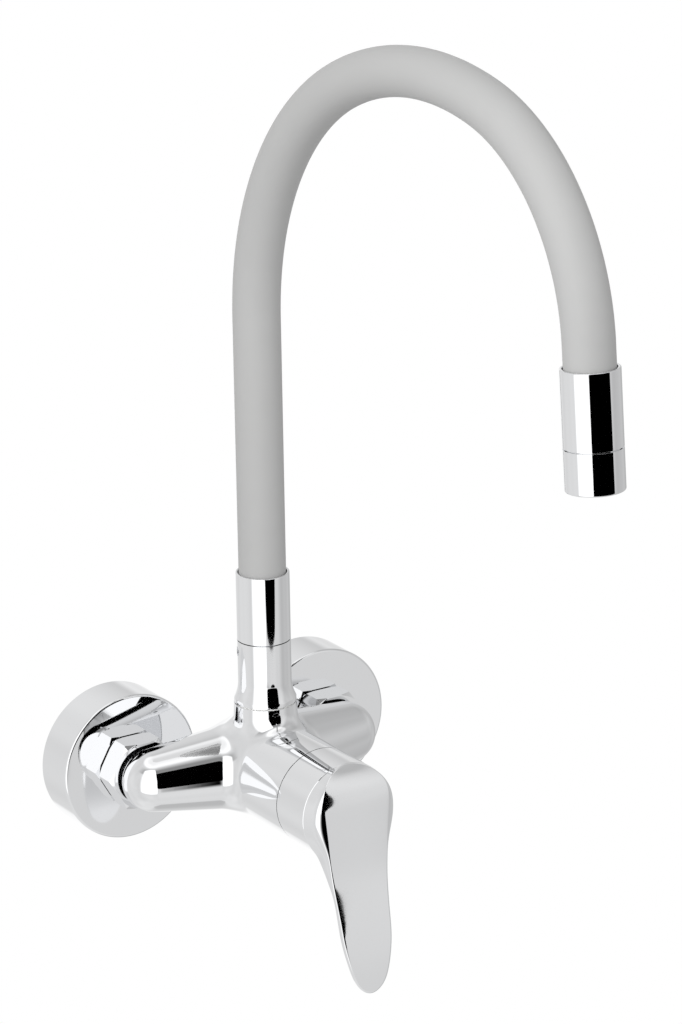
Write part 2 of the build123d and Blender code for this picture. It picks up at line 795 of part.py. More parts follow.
screw_turn = math.radians(sleeve_screw_turn)
screw_dir = Vector(math.cos(screw_turn), math.sin(screw_turn), 0)
sleeve_screw_z = sleeve_top_z - sleeve_clamp_height / 2
screw_root = Vector(0, spout_axis_y, sleeve_screw_z)
with BuildPart() as base_sleeve:
    with BuildSketch(foot_plane):
        with BuildLine():
            flare_end = (base_sleeve_radius, bearing_top_z + base_collar_height + base_flare_height)
            flare_start = (base_collar_radius, bearing_top_z + base_collar_height)
            Line((0, bearing_top_z), (base_collar_radius, bearing_top_z))
            Line((base_collar_radius, bearing_top_z), flare_start)
            TangentArc(flare_end, flare_start, tangent=(0, -1))
            Line(flare_end, (base_sleeve_radius, sleeve_top_z))
            Line((base_sleeve_radius, sleeve_top_z), (0, sleeve_top_z))
            Line((0, sleeve_top_z), (0, bearing_top_z))
        make_face()
    revolve(axis=spout_axis)
    turned(
        [
            (0, bearing_top_z),
            (swivel_flange_radius + 0.2, bearing_top_z),
            (swivel_flange_radius + 0.2, clamp_z),
            (tail_wall_gap, clamp_z),
            (tail_wall_gap, sleeve_top_z),
            (0, sleeve_top_z),
        ],
        foot_plane,
        spout_axis,
        Mode.SUBTRACT,
    )
    with BuildSketch(Plane(origin=screw_root, z_dir=screw_dir)):
        Circle(sleeve_screw_radius + thread_gap)
    extrude(amount=base_sleeve_radius + 1.0, mode=Mode.SUBTRACT)
keep(base_sleeve, "base_sleeve")

with BuildPart() as sleeve_set_screw:
    sleeve_screw_tip = Plane(origin=screw_root + screw_dir * (core_radius + thread_gap), z_dir=screw_dir)
    sleeve_screw_length = base_sleeve_radius - core_radius - 0.6
    with BuildSketch(sleeve_screw_tip):
        Circle(sleeve_screw_radius)
    extrude(amount=sleeve_screw_length)
    with BuildSketch(sleeve_screw_tip.offset(sleeve_screw_length)):
        RegularPolygon(1.0, 6, major_radius=False)
    extrude(amount=-1.5, mode=Mode.SUBTRACT)
keep(sleeve_set_screw, "sleeve_set_screw")

with BuildPart() as lower_ferrule:
    turned(
        [
            (tail_wall_gap, sleeve_top_z),
            (base_sleeve_radius, sleeve_top_z),
            (base_sleeve_radius, ferrule_top_z),
            (base_sleeve_radius - ferrule_wall, ferrule_top_z),
            (base_sleeve_radius - ferrule_wall, ferrule_floor_z),
            (tail_wall_gap, ferrule_floor_z),
        ],
        foot_plane,
        spout_axis,
    )
keep(lower_ferrule, "lower_ferrule")

# Path of the bendable spout. Distances run along it from the top of the swivel tail.
spout_runs = [
    (riser_top_z - core_start_z, 0, 0),
    (math.radians(rise_arc_angle) * rise_arc_radius, rise_arc_radius, rise_arc_angle),
    (math.radians(crown_arc_angle) * crown_arc_radius, crown_arc_radius, crown_arc_angle),
    (math.radians(fall_arc_angle) * fall_arc_radius, fall_arc_radius, fall_arc_angle),
    (80.0, 0, 0),
]
arc_end_at = sum(run[0] for run in spout_runs[:4])
side_plane = Plane.YZ


def station(distance):
    """Return (y, z, heading) at a distance along the path, heading in radians from +Z towards -Y."""
    y = spout_axis_y
    z = core_start_z
    heading = 0.0
    left = distance
    for length, radius, angle in spout_runs:
        part_way = min(left, length)
        if radius == 0:
            y -= part_way * math.sin(heading)
            z += part_way * math.cos(heading)
        else:
            turn = part_way / radius
            y += radius * (math.cos(heading + turn) - math.cos(heading))
            z += radius * (math.sin(heading + turn) - math.sin(heading))
            heading += turn
        left -= part_way
        if left <= 0:
            break
    return y, z, heading


def station_plane(distance):
    """Return the plane square to the path, its normal along the path."""
    y, z, heading = station(distance)
    return Plane(origin=(0, y, z), x_dir=(1, 0, 0), z_dir=(0, -math.sin(heading), math.cos(heading)))


def path_wire(start, end):
    """Return the centreline between two distances, as lines and tangent arcs."""
    marks = [start]
    total = 0
    for run in spout_runs[:-1]:
        total += run[0]
        if start + 1e-6 < total < end - 1e-6:
            marks.append(total)
    marks.append(end)
    with BuildLine(side_plane) as way:
        for a, b in zip(marks, marks[1:]):
            ya, za, heading = station(a)
            ym, zm, bend = station((a + b) / 2)
            yb, zb, last = station(b)
            if last - heading < 1e-6:
                Line((ya, za), (yb, zb))
            else:
                ThreePointArc((ya, za), (ym, zm), (yb, zb))
    return way.wire()


def tube_run(start, end, radius, mode=Mode.ADD):
    """Sweep a circle along part of the path."""
    with BuildSketch(station_plane(start)) as section:
        Circle(radius)
    sweep(section.sketch, path=path_wire(start, end), mode=mode)


joint_at = [first_joint + joint_pitch * i for i in range(core_joints)]
core_end_at = arc_end_at + core_end
link_ends = [0.0] + joint_at + [core_end_at]
for i in range(core_joints + 1):
    start = link_ends[i]
    end = link_ends[i + 1]
    with BuildPart() as core_link:
        if i == 0:
            tube_run(start, end + core_lip, core_radius)
            tube_run(start - spigot_length, start + 1.0, swivel_tail_bore - running_gap)
            bore_start = start - spigot_length
        else:
            reach = end + core_lip if i < core_joints else end
            tube_run(start + core_shoulder, reach, core_radius)
            tube_run(start + 3.0, start + core_shoulder + 1.0, core_neck_radius)
            with Locations(station_plane(start)):
                Sphere(core_ball_radius)
            bore_start = start - core_ball_radius - 1.0
        if i < core_joints:
            with Locations(station_plane(end)):
                Sphere(core_ball_radius + ball_gap, mode=Mode.SUBTRACT)
            tube_run(bore_start, end, core_bore, Mode.SUBTRACT)
        else:
            tube_run(bore_start, end, core_bore, Mode.SUBTRACT)
            tube_run(end - spigot_length - running_gap, end, swivel_tail_bore, Mode.SUBTRACT)
    keep(core_link, "core_link_" + str(i + 1))

silicone_start = -core_start_rise + slip_gap
silicone_end = core_end_at + adapter_shoulder - core_end - slip_gap
with BuildPart() as silicone_sleeve:
    tube_run(silicone_start, silicone_end, sleeve_radius)
    tube_run(silicone_start, silicone_end, sleeve_radius - sleeve_wall, Mode.SUBTRACT)
keep(silicone_sleeve, "silicone_sleeve")

hose_start = 0.5 - spigot_length
hose_end = arc_end_at + adapter_shoulder + adapter_hose_depth - 1.0
with BuildPart() as water_hose:
    tube_run(hose_start, hose_end, water_hose_radius)
    tube_run(hose_start, hose_end, water_hose_radius - water_hose_wall, Mode.SUBTRACT)
keep(water_hose, "water_hose")

for tube, outer, inner, length in (
    (silicone_sleeve, sleeve_radius, sleeve_radius - sleeve_wall, silicone_end - silicone_start),
    (water_hose, water_hose_radius, water_hose_radius - water_hose_wall, hose_end - hose_start),
):
    expected = math.pi * (outer**2 - inner**2) * length
    print(tube.part.label, "length", round(length, 1), "volume over section times length",
          round(tube.part.volume / expected, 4))
print("arc radii", rise_arc_radius, crown_arc_radius, fall_arc_radius)

# Outlet, on the straight end of the path
outlet_y, outlet_z, outlet_heading = station(arc_end_at)
outlet_dir = Vector(0, -math.sin(outlet_heading), math.cos(outlet_heading))
outlet_root = Vector(0, outlet_y, outlet_z)
outlet_axis = Axis(outlet_root, outlet_dir)
outlet_plane = Plane(origin=outlet_root, x_dir=(1, 0, 0), z_dir=outlet_dir.cross(Vector(1, 0, 0)) * -1)
collar_end = outlet_seam - outlet_lip
thread_end = outlet_seam + adapter_thread_length
insert_start = thread_end + aerator_gasket_thickness
insert_end = insert_start + aerator_insert_length
outlet_bore = outlet_radius - outlet_wall

with BuildPart() as outlet_sleeve:
    turned(
        [
            (outlet_bore, outlet_rim),
            (outlet_radius, outlet_rim),
            (outlet_radius, outlet_seam),
            (adapter_thread_radius + running_gap, outlet_seam),
            (adapter_thread_radius + running_gap, collar_end),
            (outlet_bore, collar_end),
        ],
        outlet_plane,
        outlet_axis,
    )
keep(outlet_sleeve, "outlet_sleeve")

with BuildPart() as outlet_adapter:
    turned(
        [
            (core_bore, core_end - spigot_length),
            (swivel_tail_bore - running_gap, core_end - spigot_length),
            (swivel_tail_bore - running_gap, core_end),
            (core_radius, core_end),
            (core_radius, adapter_shoulder),
            (outlet_bore - running_gap, adapter_shoulder),
            (outlet_bore - running_gap, collar_end),
            (adapter_thread_radius, collar_end),
            (adapter_thread_radius, thread_end),
            (adapter_bore, thread_end),
            (adapter_bore, adapter_shoulder + adapter_hose_depth),
            (core_bore, adapter_shoulder + adapter_hose_depth),
        ],
        outlet_plane,
        outlet_axis,
    )
keep(outlet_adapter, "outlet_adapter")

with BuildPart() as aerator_housing:
    turned(
        [
            (adapter_thread_radius + thread_gap, outlet_seam),
            (outlet_radius, outlet_seam),
            (outlet_radius, outlet_end),
            (aerator_lip_radius, outlet_end),
            (aerator_lip_radius, insert_end),
            (adapter_thread_radius + thread_gap, insert_end),
        ],
        outlet_plane,
        outlet_axis,
    )
keep(aerator_housing, "aerator_housing")

with BuildPart() as aerator_gasket:
    turned(
        [
            (adapter_bore, thread_end),
            (adapter_thread_radius - 0.1, thread_end),
            (adapter_thread_radius - 0.1, insert_start),
            (adapter_bore, insert_start),
        ],
        outlet_plane,
        outlet_axis,
    )
keep(aerator_gasket, "aerator_gasket")

with BuildPart() as aerator_insert:
    insert_plane = Plane(origin=outlet_root + outlet_dir * insert_start, x_dir=(1, 0, 0), z_dir=outlet_dir)
    with BuildSketch(insert_plane):
        Circle(adapter_thread_radius - 0.1)
        with HexLocations(spray_hole_pitch / 2, 3, 3):
            Circle(spray_hole_radius, mode=Mode.SUBTRACT)
    extrude(amount=aerator_insert_length)
keep(aerator_insert, "aerator_insert")
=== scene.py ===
"""Wall-mounted single-lever sink mixer with a bendable sleeved spout, dressed for its studio picture.

Sizes in the classes are in millimetres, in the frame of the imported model: X across the wall, Y into
the wall with the room on the -Y side, Z up. Meshes are made in metres. Angles in fields are in degrees.
SPARE is how far a cutting tool reaches past the piece that it cuts. WIDE_GRAIN is how many times wider
than its grain a finish's slow changes are, and LATHE_SCALE sets how close the marks of turning lie.
"""

from __future__ import annotations

import logging
import math
from dataclasses import dataclass, field
from enum import Enum
from typing import Callable, Iterable, Sequence

import bpy
import numpy as np
from mathutils import Matrix, Vector

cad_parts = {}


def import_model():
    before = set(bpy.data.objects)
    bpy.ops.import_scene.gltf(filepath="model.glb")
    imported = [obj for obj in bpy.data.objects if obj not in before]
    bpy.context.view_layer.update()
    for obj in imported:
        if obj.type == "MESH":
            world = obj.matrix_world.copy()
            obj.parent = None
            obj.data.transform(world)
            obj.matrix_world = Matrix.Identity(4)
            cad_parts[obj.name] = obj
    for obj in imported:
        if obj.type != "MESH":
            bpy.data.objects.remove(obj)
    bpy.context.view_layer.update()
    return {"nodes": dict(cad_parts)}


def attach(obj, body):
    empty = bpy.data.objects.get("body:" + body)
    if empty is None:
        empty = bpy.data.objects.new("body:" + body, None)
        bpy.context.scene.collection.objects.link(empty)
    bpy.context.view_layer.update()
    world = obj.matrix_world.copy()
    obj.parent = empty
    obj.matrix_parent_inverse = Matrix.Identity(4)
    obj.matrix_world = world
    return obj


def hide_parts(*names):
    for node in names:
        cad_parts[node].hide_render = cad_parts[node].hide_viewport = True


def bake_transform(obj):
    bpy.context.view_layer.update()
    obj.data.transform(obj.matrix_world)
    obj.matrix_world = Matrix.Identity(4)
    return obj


LOG = logging.getLogger("mixer")
MM = 0.001
SPARE = 1.0
WIDE_GRAIN = 22.0
LATHE_SCALE = 600.0
Point2 = tuple[float, float]
Point3 = tuple[float, float, float]
Fades = tuple[float, float, float, float]
Curve = Callable[[float], float]
Surface = Callable[[float, float], float]
UP: Point3 = (0, 0, 1)
TO_WALL: Point3 = (0, 1, 0)
TO_ROOM: Point3 = (0, -1, 0)


# Shader maths.


class Tree:
    """Makes the nodes of one material or world."""

    def __init__(self, tree: bpy.types.NodeTree) -> None:
        """Empty the tree.

        Args:
            tree: The node tree to fill.
        """
        self.tree = tree
        tree.nodes.clear()

    def add(self, kind: str, settings: dict | None = None, **sockets: object) -> bpy.types.Node:
        """Make one node.

        Args:
            kind: The node's type name.
            settings: Node properties, set before the sockets.
            **sockets: Socket values or links, by socket name with spaces as underscores, or inN.

        Returns:
            The new node.
        """
        node = self.tree.nodes.new(kind)
        for name, value in (settings or {}).items():
            setattr(node, name, value)
        for name, value in sockets.items():
            self.feed(self.find(node, name), value)
        return node

    @staticmethod
    def find(node: bpy.types.Node, name: str) -> bpy.types.NodeSocket:
        """Find an input socket.

        Args:
            node: The node.
            name: The socket's name with spaces as underscores, or inN.

        Returns:
            The socket.
        """
        if name.startswith("in") and name[2:].isdigit():
            return node.inputs[int(name[2:])]
        return node.inputs[name.replace("_", " ")]

    def feed(self, socket: bpy.types.NodeSocket, value: object) -> None:
        """Link or set a socket.

        Args:
            socket: The input socket.
            value: A Value, an output socket, a number or a tuple.
        """
        if isinstance(value, Value):
            self.tree.links.new(value.socket, socket)
        elif isinstance(value, bpy.types.NodeSocket):
            self.tree.links.new(value, socket)
        else:
            socket.default_value = value

    def value(self, node: bpy.types.Node, output: str | int = 0) -> Value:
        """Wrap one output of a node."""
        return Value(self, node.outputs[output])

    def glow(self, strength: float) -> bpy.types.Node:
        """Add a white glow."""
        return self.add("ShaderNodeEmission", Color=(1, 1, 1, 1), Strength=strength)

    def mix(self, share: Value, first: bpy.types.Node, second: bpy.types.Node) -> bpy.types.Node:
        """Mix two shaders.

        Args:
            share: How much of the second one shows.
            first: The shader where the share is 0.
            second: The shader where the share is 1.

        Returns:
            The mixed shader.
        """
        node = self.add("ShaderNodeMixShader", in0=share)
        self.feed(node.inputs[1], first.outputs[0])
        self.feed(node.inputs[2], second.outputs[0])
        return node

    def show(self, shader: bpy.types.Node, kind: str = "ShaderNodeOutputMaterial") -> None:
        """Make a shader the surface of the material or world."""
        self.feed(self.add(kind).inputs["Surface"], shader.outputs[0])


class Value:
    """A number carried by a socket, with the operators that the finishes use."""

    def __init__(self, tree: Tree, socket: bpy.types.NodeSocket) -> None:
        """Keep the socket and its tree."""
        self.tree = tree
        self.socket = socket

    def maths(self, operation: str, *others: object) -> Value:
        """Add a Math node.

        Args:
            operation: The node's operation.
            *others: The second and third inputs.

        Returns:
            The result.
        """
        inputs = {f"in{i}": v for i, v in enumerate((self, *others))}
        return self.tree.value(self.tree.add("ShaderNodeMath", {"operation": operation}, **inputs))

    def __add__(self, other: object) -> Value:
        """Sum."""
        return self.maths("ADD", other)

    __radd__ = __add__

    def __mul__(self, other: object) -> Value:
        """Product."""
        return self.maths("MULTIPLY", other)

    __rmul__ = __mul__

    def __sub__(self, other: object) -> Value:
        """Difference."""
        return self.maths("SUBTRACT", other)

    def __rsub__(self, other: float) -> Value:
        """Difference from a number, as in 1 - mask."""
        return self.maths("MULTIPLY", -1.0) + other

    def between(self, low: float, high: float) -> Value:
        """Map low..high smoothly to 0..1."""
        smooth = {"interpolation_type": "SMOOTHSTEP"}
        return self.tree.value(self.tree.add("ShaderNodeMapRange", smooth, in0=self, in1=low, in2=high))


def new_material(name: str) -> tuple[bpy.types.Material, Tree]:
    """Make a material.

    Args:
        name: Its name.

    Returns:
        The material and its empty node tree.
    """
    material = bpy.data.materials.new(name)
    material.use_nodes = True
    return material, Tree(material.node_tree)


# Finishes.


class Look(Enum):
    """The kinds of surface that the mixer has."""

    POLISHED = "polished plate"
    TURNED = "turned metal"
    SILICONE = "matte silicone"
    RUBBER = "sealing rubber"
    MOULDED = "moulded plastic"
    CERAMIC = "ground ceramic"


@dataclass(frozen=True)
class Finish:
    """One material: its colour, gloss and the fine marks that its surface has."""

    name: str
    look: Look
    colour: tuple[float, float, float]
    rough: float
    metal: float = 0.0
    grain_mm: float = 1.0
    bump_mm: float = 0.0
    shade: float = 0.0
    rough_change: float = 0.0
    coat: float = 0.0
    sheen: float = 0.0

    def make(self) -> bpy.types.Material:
        """Build the material, or return it if it was built before.

        Returns:
            The material.
        """
        if self.name in bpy.data.materials:
            return bpy.data.materials[self.name]
        material, tree = new_material(self.name)
        place = tree.add("ShaderNodeTexCoord").outputs["Object"]
        shader = tree.add(
            "ShaderNodeBsdfPrincipled",
            Metallic=self.metal,
            Coat_Weight=self.coat,
            Sheen_Weight=self.sheen,
        )
        fine = self.noise(tree, place, self.grain_mm, 3.0)
        wide = self.noise(tree, place, self.grain_mm * WIDE_GRAIN, 2.0)
        tone = 1.0 + (wide - 0.5) * self.shade * 2.0 + (fine - 0.5) * self.shade
        mix = tree.add(
            "ShaderNodeMix",
            {"data_type": "RGBA", "blend_type": "MULTIPLY"},
            in0=1.0,
            in6=(*self.colour, 1.0),
        )
        grey = tree.add("ShaderNodeCombineColor", Red=tone, Green=tone, Blue=tone)
        tree.feed(mix.inputs[7], grey.outputs[0])
        tree.feed(shader.inputs["Base Color"], mix.outputs[2])
        rough = self.rough + (wide.between(0.35, 0.75) - 0.3) * self.rough_change
        if self.look is Look.TURNED:
            rough = rough + (self.rings(tree, place) - 0.5) * 0.1
        tree.feed(shader.inputs["Roughness"], rough)
        if self.bump_mm > 0:
            bump = tree.add("ShaderNodeBump", Strength=1.0, Distance=self.bump_mm * MM, Height=fine)
            tree.feed(shader.inputs["Normal"], bump.outputs[0])
        tree.show(shader)
        return material

    @staticmethod
    def noise(tree: Tree, place: bpy.types.NodeSocket, size_mm: float, detail: float) -> Value:
        """Return noise whose features have about the given size."""
        node = tree.add("ShaderNodeTexNoise", Vector=place, Scale=1000.0 / size_mm, Detail=detail)
        return tree.value(node, 0)

    @staticmethod
    def rings(tree: Tree, place: bpy.types.NodeSocket) -> Value:
        """Make the fine rings that a lathe leaves along Y.

        Args:
            tree: The material's nodes.
            place: The coordinates.

        Returns:
            The rings, from 0 to 1.
        """
        settings = {"wave_type": "BANDS", "bands_direction": "Y"}
        node = tree.add("ShaderNodeTexWave", settings, Vector=place, Scale=LATHE_SCALE, Distortion=0.6)
        return tree.value(node, 1)


CHROME = Finish("polished_chrome", Look.POLISHED, (0.86, 0.865, 0.875), 0.03, 1.0, 1.5, 0.0, 0.012, 0.02)
LEVER_CHROME = Finish("lever_chrome", Look.POLISHED, (0.86, 0.865, 0.875), 0.045, 1.0, 1.5, 0.0, 0.012, 0.03)
SILICONE = Finish(
    "grey_silicone", Look.SILICONE, (0.375, 0.375, 0.373), 0.62, 0.0, 0.35, 0.02, 0.02, 0.08, sheen=0.1
)
HOSE = Finish("white_hose", Look.RUBBER, (0.72, 0.72, 0.69), 0.42, 0.0, 0.5, 0.01, 0.02, 0.06)
SEAL = Finish("black_seal", Look.RUBBER, (0.022, 0.022, 0.023), 0.55, 0.0, 0.4, 0.02, 0.1, 0.1)
BRASS = Finish("turned_brass", Look.TURNED, (0.74, 0.52, 0.24), 0.3, 1.0, 0.5, 0.004, 0.04, 0.12)
STEEL = Finish("plain_steel", Look.TURNED, (0.52, 0.53, 0.55), 0.28, 1.0, 0.5, 0.003, 0.04, 0.1)
CORE = Finish("core_metal", Look.TURNED, (0.6, 0.61, 0.63), 0.32, 1.0, 0.5, 0.003, 0.04, 0.1)
CARTRIDGE = Finish("cartridge_plastic", Look.MOULDED, (0.8, 0.8, 0.77), 0.42, 0.0, 0.6, 0.006, 0.02, 0.08)
BEARING = Finish("bearing_plastic", Look.MOULDED, (0.03, 0.03, 0.03), 0.45, 0.0, 0.6, 0.006, 0.03, 0.08)
AERATOR = Finish("aerator_plastic", Look.MOULDED, (0.55, 0.55, 0.55), 0.4, 0.0, 0.6, 0.006, 0.02, 0.08)
CERAMIC = Finish("ground_ceramic", Look.CERAMIC, (0.86, 0.84, 0.79), 0.25, 0.0, 0.4, 0.002, 0.02, 0.05)


# Modelling by hand.


class Bench:
    """Modelling steps that the sub-assemblies share. Each leaves the object in Object mode."""

    @staticmethod
    def clear() -> None:
        """Leave edit mode and deselect everything."""
        if bpy.context.object and bpy.context.object.mode != "OBJECT":
            bpy.ops.object.mode_set(mode="OBJECT")
        bpy.ops.object.select_all(action="DESELECT")

    @staticmethod
    def pick(*pieces: bpy.types.Object) -> None:
        """Select some pieces and nothing else.

        Args:
            *pieces: The pieces, the first of which becomes active.
        """
        Bench.clear()
        for piece in pieces:
            piece.select_set(True)
        bpy.context.view_layer.objects.active = pieces[0]

    @staticmethod
    def edit(piece: bpy.types.Object) -> None:
        """Enter edit mode with all of a piece selected.

        Args:
            piece: The piece.
        """
        Bench.pick(piece)
        bpy.ops.object.mode_set(mode="EDIT")
        bpy.ops.mesh.select_all(action="SELECT")

    @staticmethod
    def bridge(piece: bpy.types.Object, chains: Sequence[Sequence[int]]) -> None:
        """Join two chains of edges with faces.

        Args:
            piece: The piece.
            chains: The points of each chain.
        """
        marks = [set(chain) for chain in chains]
        Bench.clear()
        for vertex in piece.data.vertices:
            vertex.select = any(vertex.index in m for m in marks)
        for edge in piece.data.edges:
            edge.select = any(edge.vertices[0] in m and edge.vertices[1] in m for m in marks)
        for face in piece.data.polygons:
            face.select = False
        Bench.pick(piece)
        bpy.ops.object.mode_set(mode="EDIT")
        bpy.ops.mesh.select_mode(type="EDGE")
        bpy.ops.mesh.bridge_edge_loops()
        bpy.ops.mesh.select_mode(type="VERT")
        bpy.ops.object.mode_set(mode="OBJECT")

    @staticmethod
    def close(piece: bpy.types.Object, merge_mm: float = 0.001) -> None:
        """Merge doubles, face all faces outwards and leave edit mode.

        Args:
            piece: The piece.
            merge_mm: The distance under which points merge.
        """
        Bench.edit(piece)
        bpy.ops.mesh.remove_doubles(threshold=merge_mm * MM)
        bpy.ops.mesh.delete_loose()
        bpy.ops.mesh.select_all(action="SELECT")
        bpy.ops.mesh.normals_make_consistent(inside=False)
        bpy.ops.object.mode_set(mode="OBJECT")

    @staticmethod
    def apply(piece: bpy.types.Object, kind: str, **settings: object) -> None:
        """Add a modifier and apply it.

        Args:
            piece: The piece.
            kind: The modifier's type.
            **settings: Its properties.
        """
        Bench.pick(piece)
        modifier = piece.modifiers.new("step", kind)
        for name, value in settings.items():
            setattr(modifier, name, value)
        bpy.ops.object.modifier_apply(modifier=modifier.name)

    @staticmethod
    def cut(piece: bpy.types.Object, tool: bpy.types.Object, operation: str = "DIFFERENCE") -> None:
        """Cut, join or cross a piece with a tool, which is then removed.

        Args:
            piece: The piece that is kept.
            tool: The piece that is used up.
            operation: The boolean operation.
        """
        Bench.apply(piece, "BOOLEAN", object=tool, operation=operation, solver="EXACT")
        bpy.data.objects.remove(tool)

    @staticmethod
    def smooth(piece: bpy.types.Object, angle: float = 30.0, weigh: bool = True) -> None:
        """Shade a piece smooth with crisp edges, flat faces staying flat.

        Args:
            piece: The piece.
            angle: The angle in degrees past which an edge is crisp.
            weigh: Whether large faces lead the shading.
        """
        Bench.pick(piece)
        bpy.ops.object.shade_smooth_by_angle(angle=math.radians(angle))
        if weigh:
            Bench.apply(piece, "WEIGHTED_NORMAL", keep_sharp=True, weight=80)

    @staticmethod
    def settle(piece: bpy.types.Object, seat: Matrix | None = None) -> None:
        """Leave a piece's object at the origin, unturned and unscaled, with its place in its mesh.

        Args:
            piece: The piece.
            seat: A place that it is moved to first.
        """
        Bench.pick(piece)
        if seat is not None:
            piece.matrix_world = seat @ piece.matrix_world
        bpy.ops.object.transform_apply(location=True, rotation=True, scale=True)

    @staticmethod
    def join(first: bpy.types.Object, *others: bpy.types.Object) -> bpy.types.Object:
        """Join pieces.

        Args:
            first: The piece that the others become part of.
            *others: The pieces that are used up.

        Returns:
            The first piece.
        """
        Bench.pick(first, *others)
        bpy.ops.object.join()
        return first

    @staticmethod
    def finish(piece: bpy.types.Object, finish: Finish, body: str, slot: str, *replaced: str) -> None:
        """Dress a piece and let it ride on its body.

        Args:
            piece: The piece.
            finish: Its finish.
            body: The body that it rides on, or an empty text for a piece over a bend, which rides on none.
            slot: The name of a material slot; not used.
            *replaced: The CAD nodes that it stands for.
        """
        piece.data.materials.clear()
        piece.data.materials.append(finish.make())
        if body:
            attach(piece, body)
        if replaced:
            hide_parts(*replaced)
        LOG.info("%s: %d faces", piece.name, len(piece.data.polygons))


def ringed(name: str, rings: Sequence[Sequence[Vector]], closed: bool = False) -> bpy.types.Object:
    """Extrude a circle ring by ring and give each ring its shape.

    Args:
        name: The piece's name.
        rings: Rings of points in millimetres, all of one length.
        closed: Whether the last ring joins the first, as in a thick tube.

    Returns:
        The piece.
    """
    count = len(rings[0])
    Bench.clear()
    bpy.ops.mesh.primitive_circle_add(vertices=count, radius=MM)
    piece = bpy.context.object
    piece.name = name
    Bench.edit(piece)
    for _ in rings[1:]:
        bpy.ops.mesh.extrude_region_move(TRANSFORM_OT_translate={"value": (0, 0, MM)})
    bpy.ops.object.mode_set(mode="OBJECT")
    places = np.array([[tuple(p) for p in ring] for ring in rings]) * MM
    piece.data.vertices.foreach_set("co", places.ravel())
    if closed:
        last = count * (len(rings) - 1)
        Bench.bridge(piece, [range(count), range(last, last + count)])
    return piece


def rounded(corners: Iterable[tuple[float, ...]], segments: int = 4) -> list[Point2]:
    """Round the corners of a closed profile.

    Args:
        corners: Points as (radius, height) or (radius, height, rounding).
        segments: Chords in each rounding.

    Returns:
        The profile's points.
    """
    points = [tuple(c) + (0.0,) * (3 - len(c)) for c in corners]
    out: list[Point2] = []
    for i, (r, h, fillet) in enumerate(points):
        here = Vector((r, h))
        if fillet <= 0:
            out.append((r, h))
            continue
        before = (Vector(points[i - 1][:2]) - here).normalized()
        after = (Vector(points[(i + 1) % len(points)][:2]) - here).normalized()
        half = math.acos(max(-1.0, min(1.0, before.dot(after)))) / 2
        reach = fillet / math.tan(half)
        centre = here + (before + after).normalized() * (fillet / math.sin(half))
        start = here + before * reach - centre
        end = here + after * reach - centre
        turn = math.pi - 2 * half
        sign = 1.0 if start.x * end.y - start.y * end.x > 0 else -1.0
        for k in range(segments + 1):
            a = sign * turn * k / segments
            across = start.x * math.cos(a) - start.y * math.sin(a)
            up = start.x * math.sin(a) + start.y * math.cos(a)
            out.append((centre.x + across, centre.y + up))
    return out


def spun(name: str, profile: Sequence[Point2], seat: Matrix, steps: int = 128) -> bpy.types.Object:
    """Spin a closed profile about the seat's Z axis.

    Args:
        name: The piece's name.
        profile: Points as (radius, height).
        seat: The place of the axis, in metres.
        steps: Faces round the axis.

    Returns:
        The piece, at the origin.
    """
    Bench.clear()
    bpy.ops.mesh.primitive_circle_add(vertices=len(profile), radius=1.0)
    piece = bpy.context.object
    piece.name = name
    for vertex, (radius, height) in zip(piece.data.vertices, profile):
        vertex.co = (radius * MM, 0.0, height * MM)
    Bench.edit(piece)
    bpy.ops.mesh.spin(steps=steps, angle=2 * math.pi, center=(0, 0, 0), axis=(0, 0, 1))
    bpy.ops.object.mode_set(mode="OBJECT")
    Bench.close(piece)
    Bench.settle(piece, seat)
    return piece


def smoothstep(value: float, low: float, high: float) -> float:
    """Map low..high smoothly to 0..1."""
    t = min(max((value - low) / (high - low), 0.0), 1.0)
    return t * t * (3 - 2 * t)


def seat_at(x: float, y: float, z: float, direction: Vector | Point3) -> Matrix:
    """Return a place whose Z axis runs along a direction.

    Args:
        x: Origin, across the wall.
        y: Origin, into the wall.
        z: Origin, up.
        direction: The direction of the seat's Z axis.

    Returns:
        The seat, in metres.
    """
    turn = Vector(UP).rotation_difference(Vector(direction).normalized())
    return Matrix.Translation(Vector((x, y, z)) * MM) @ turn.to_matrix().to_4x4()


# The path of the spout.


@dataclass
class SpoutPath:
    """The centreline of the bendable spout, in the plane X = 0.

    A straight riser, three tangent arcs given as (radius, angle), and a straight end.
    """

    axis_y: float = -54.3
    start_z: float = 66.0
    riser_top: float = 206.5
    arcs: tuple[Point2, ...] = ((128.0, 64.1), (152.3, 38.8), (90.5, 72.7))
    straight_end: float = 200.0

    def at(self, distance: float) -> tuple[Vector, Vector]:
        """Find a point of the path.

        Args:
            distance: The distance from the top of the swivel tail, along the path.

        Returns:
            The point and the direction of the path there.
        """
        y, z, heading, left = self.axis_y, self.start_z, 0.0, distance
        runs = [(self.riser_top - self.start_z, 0.0)]
        runs += [(radius * math.radians(angle), radius) for radius, angle in self.arcs]
        runs.append((self.straight_end, 0.0))
        for length, radius in runs:
            part = min(left, length)
            if radius == 0:
                y -= part * math.sin(heading)
                z += part * math.cos(heading)
            else:
                turn = part / radius
                y += radius * (math.cos(heading + turn) - math.cos(heading))
                z += radius * (math.sin(heading + turn) - math.sin(heading))
                heading += turn
            left -= part
            if left <= 0:
                break
        return Vector((0, y, z)), Vector((0, -math.sin(heading), math.cos(heading)))

    @property
    def arc_end(self) -> float:
        """The distance at which the last arc ends."""
        return self.riser_top - self.start_z + sum(r * math.radians(a) for r, a in self.arcs)


# Sub-assemblies.


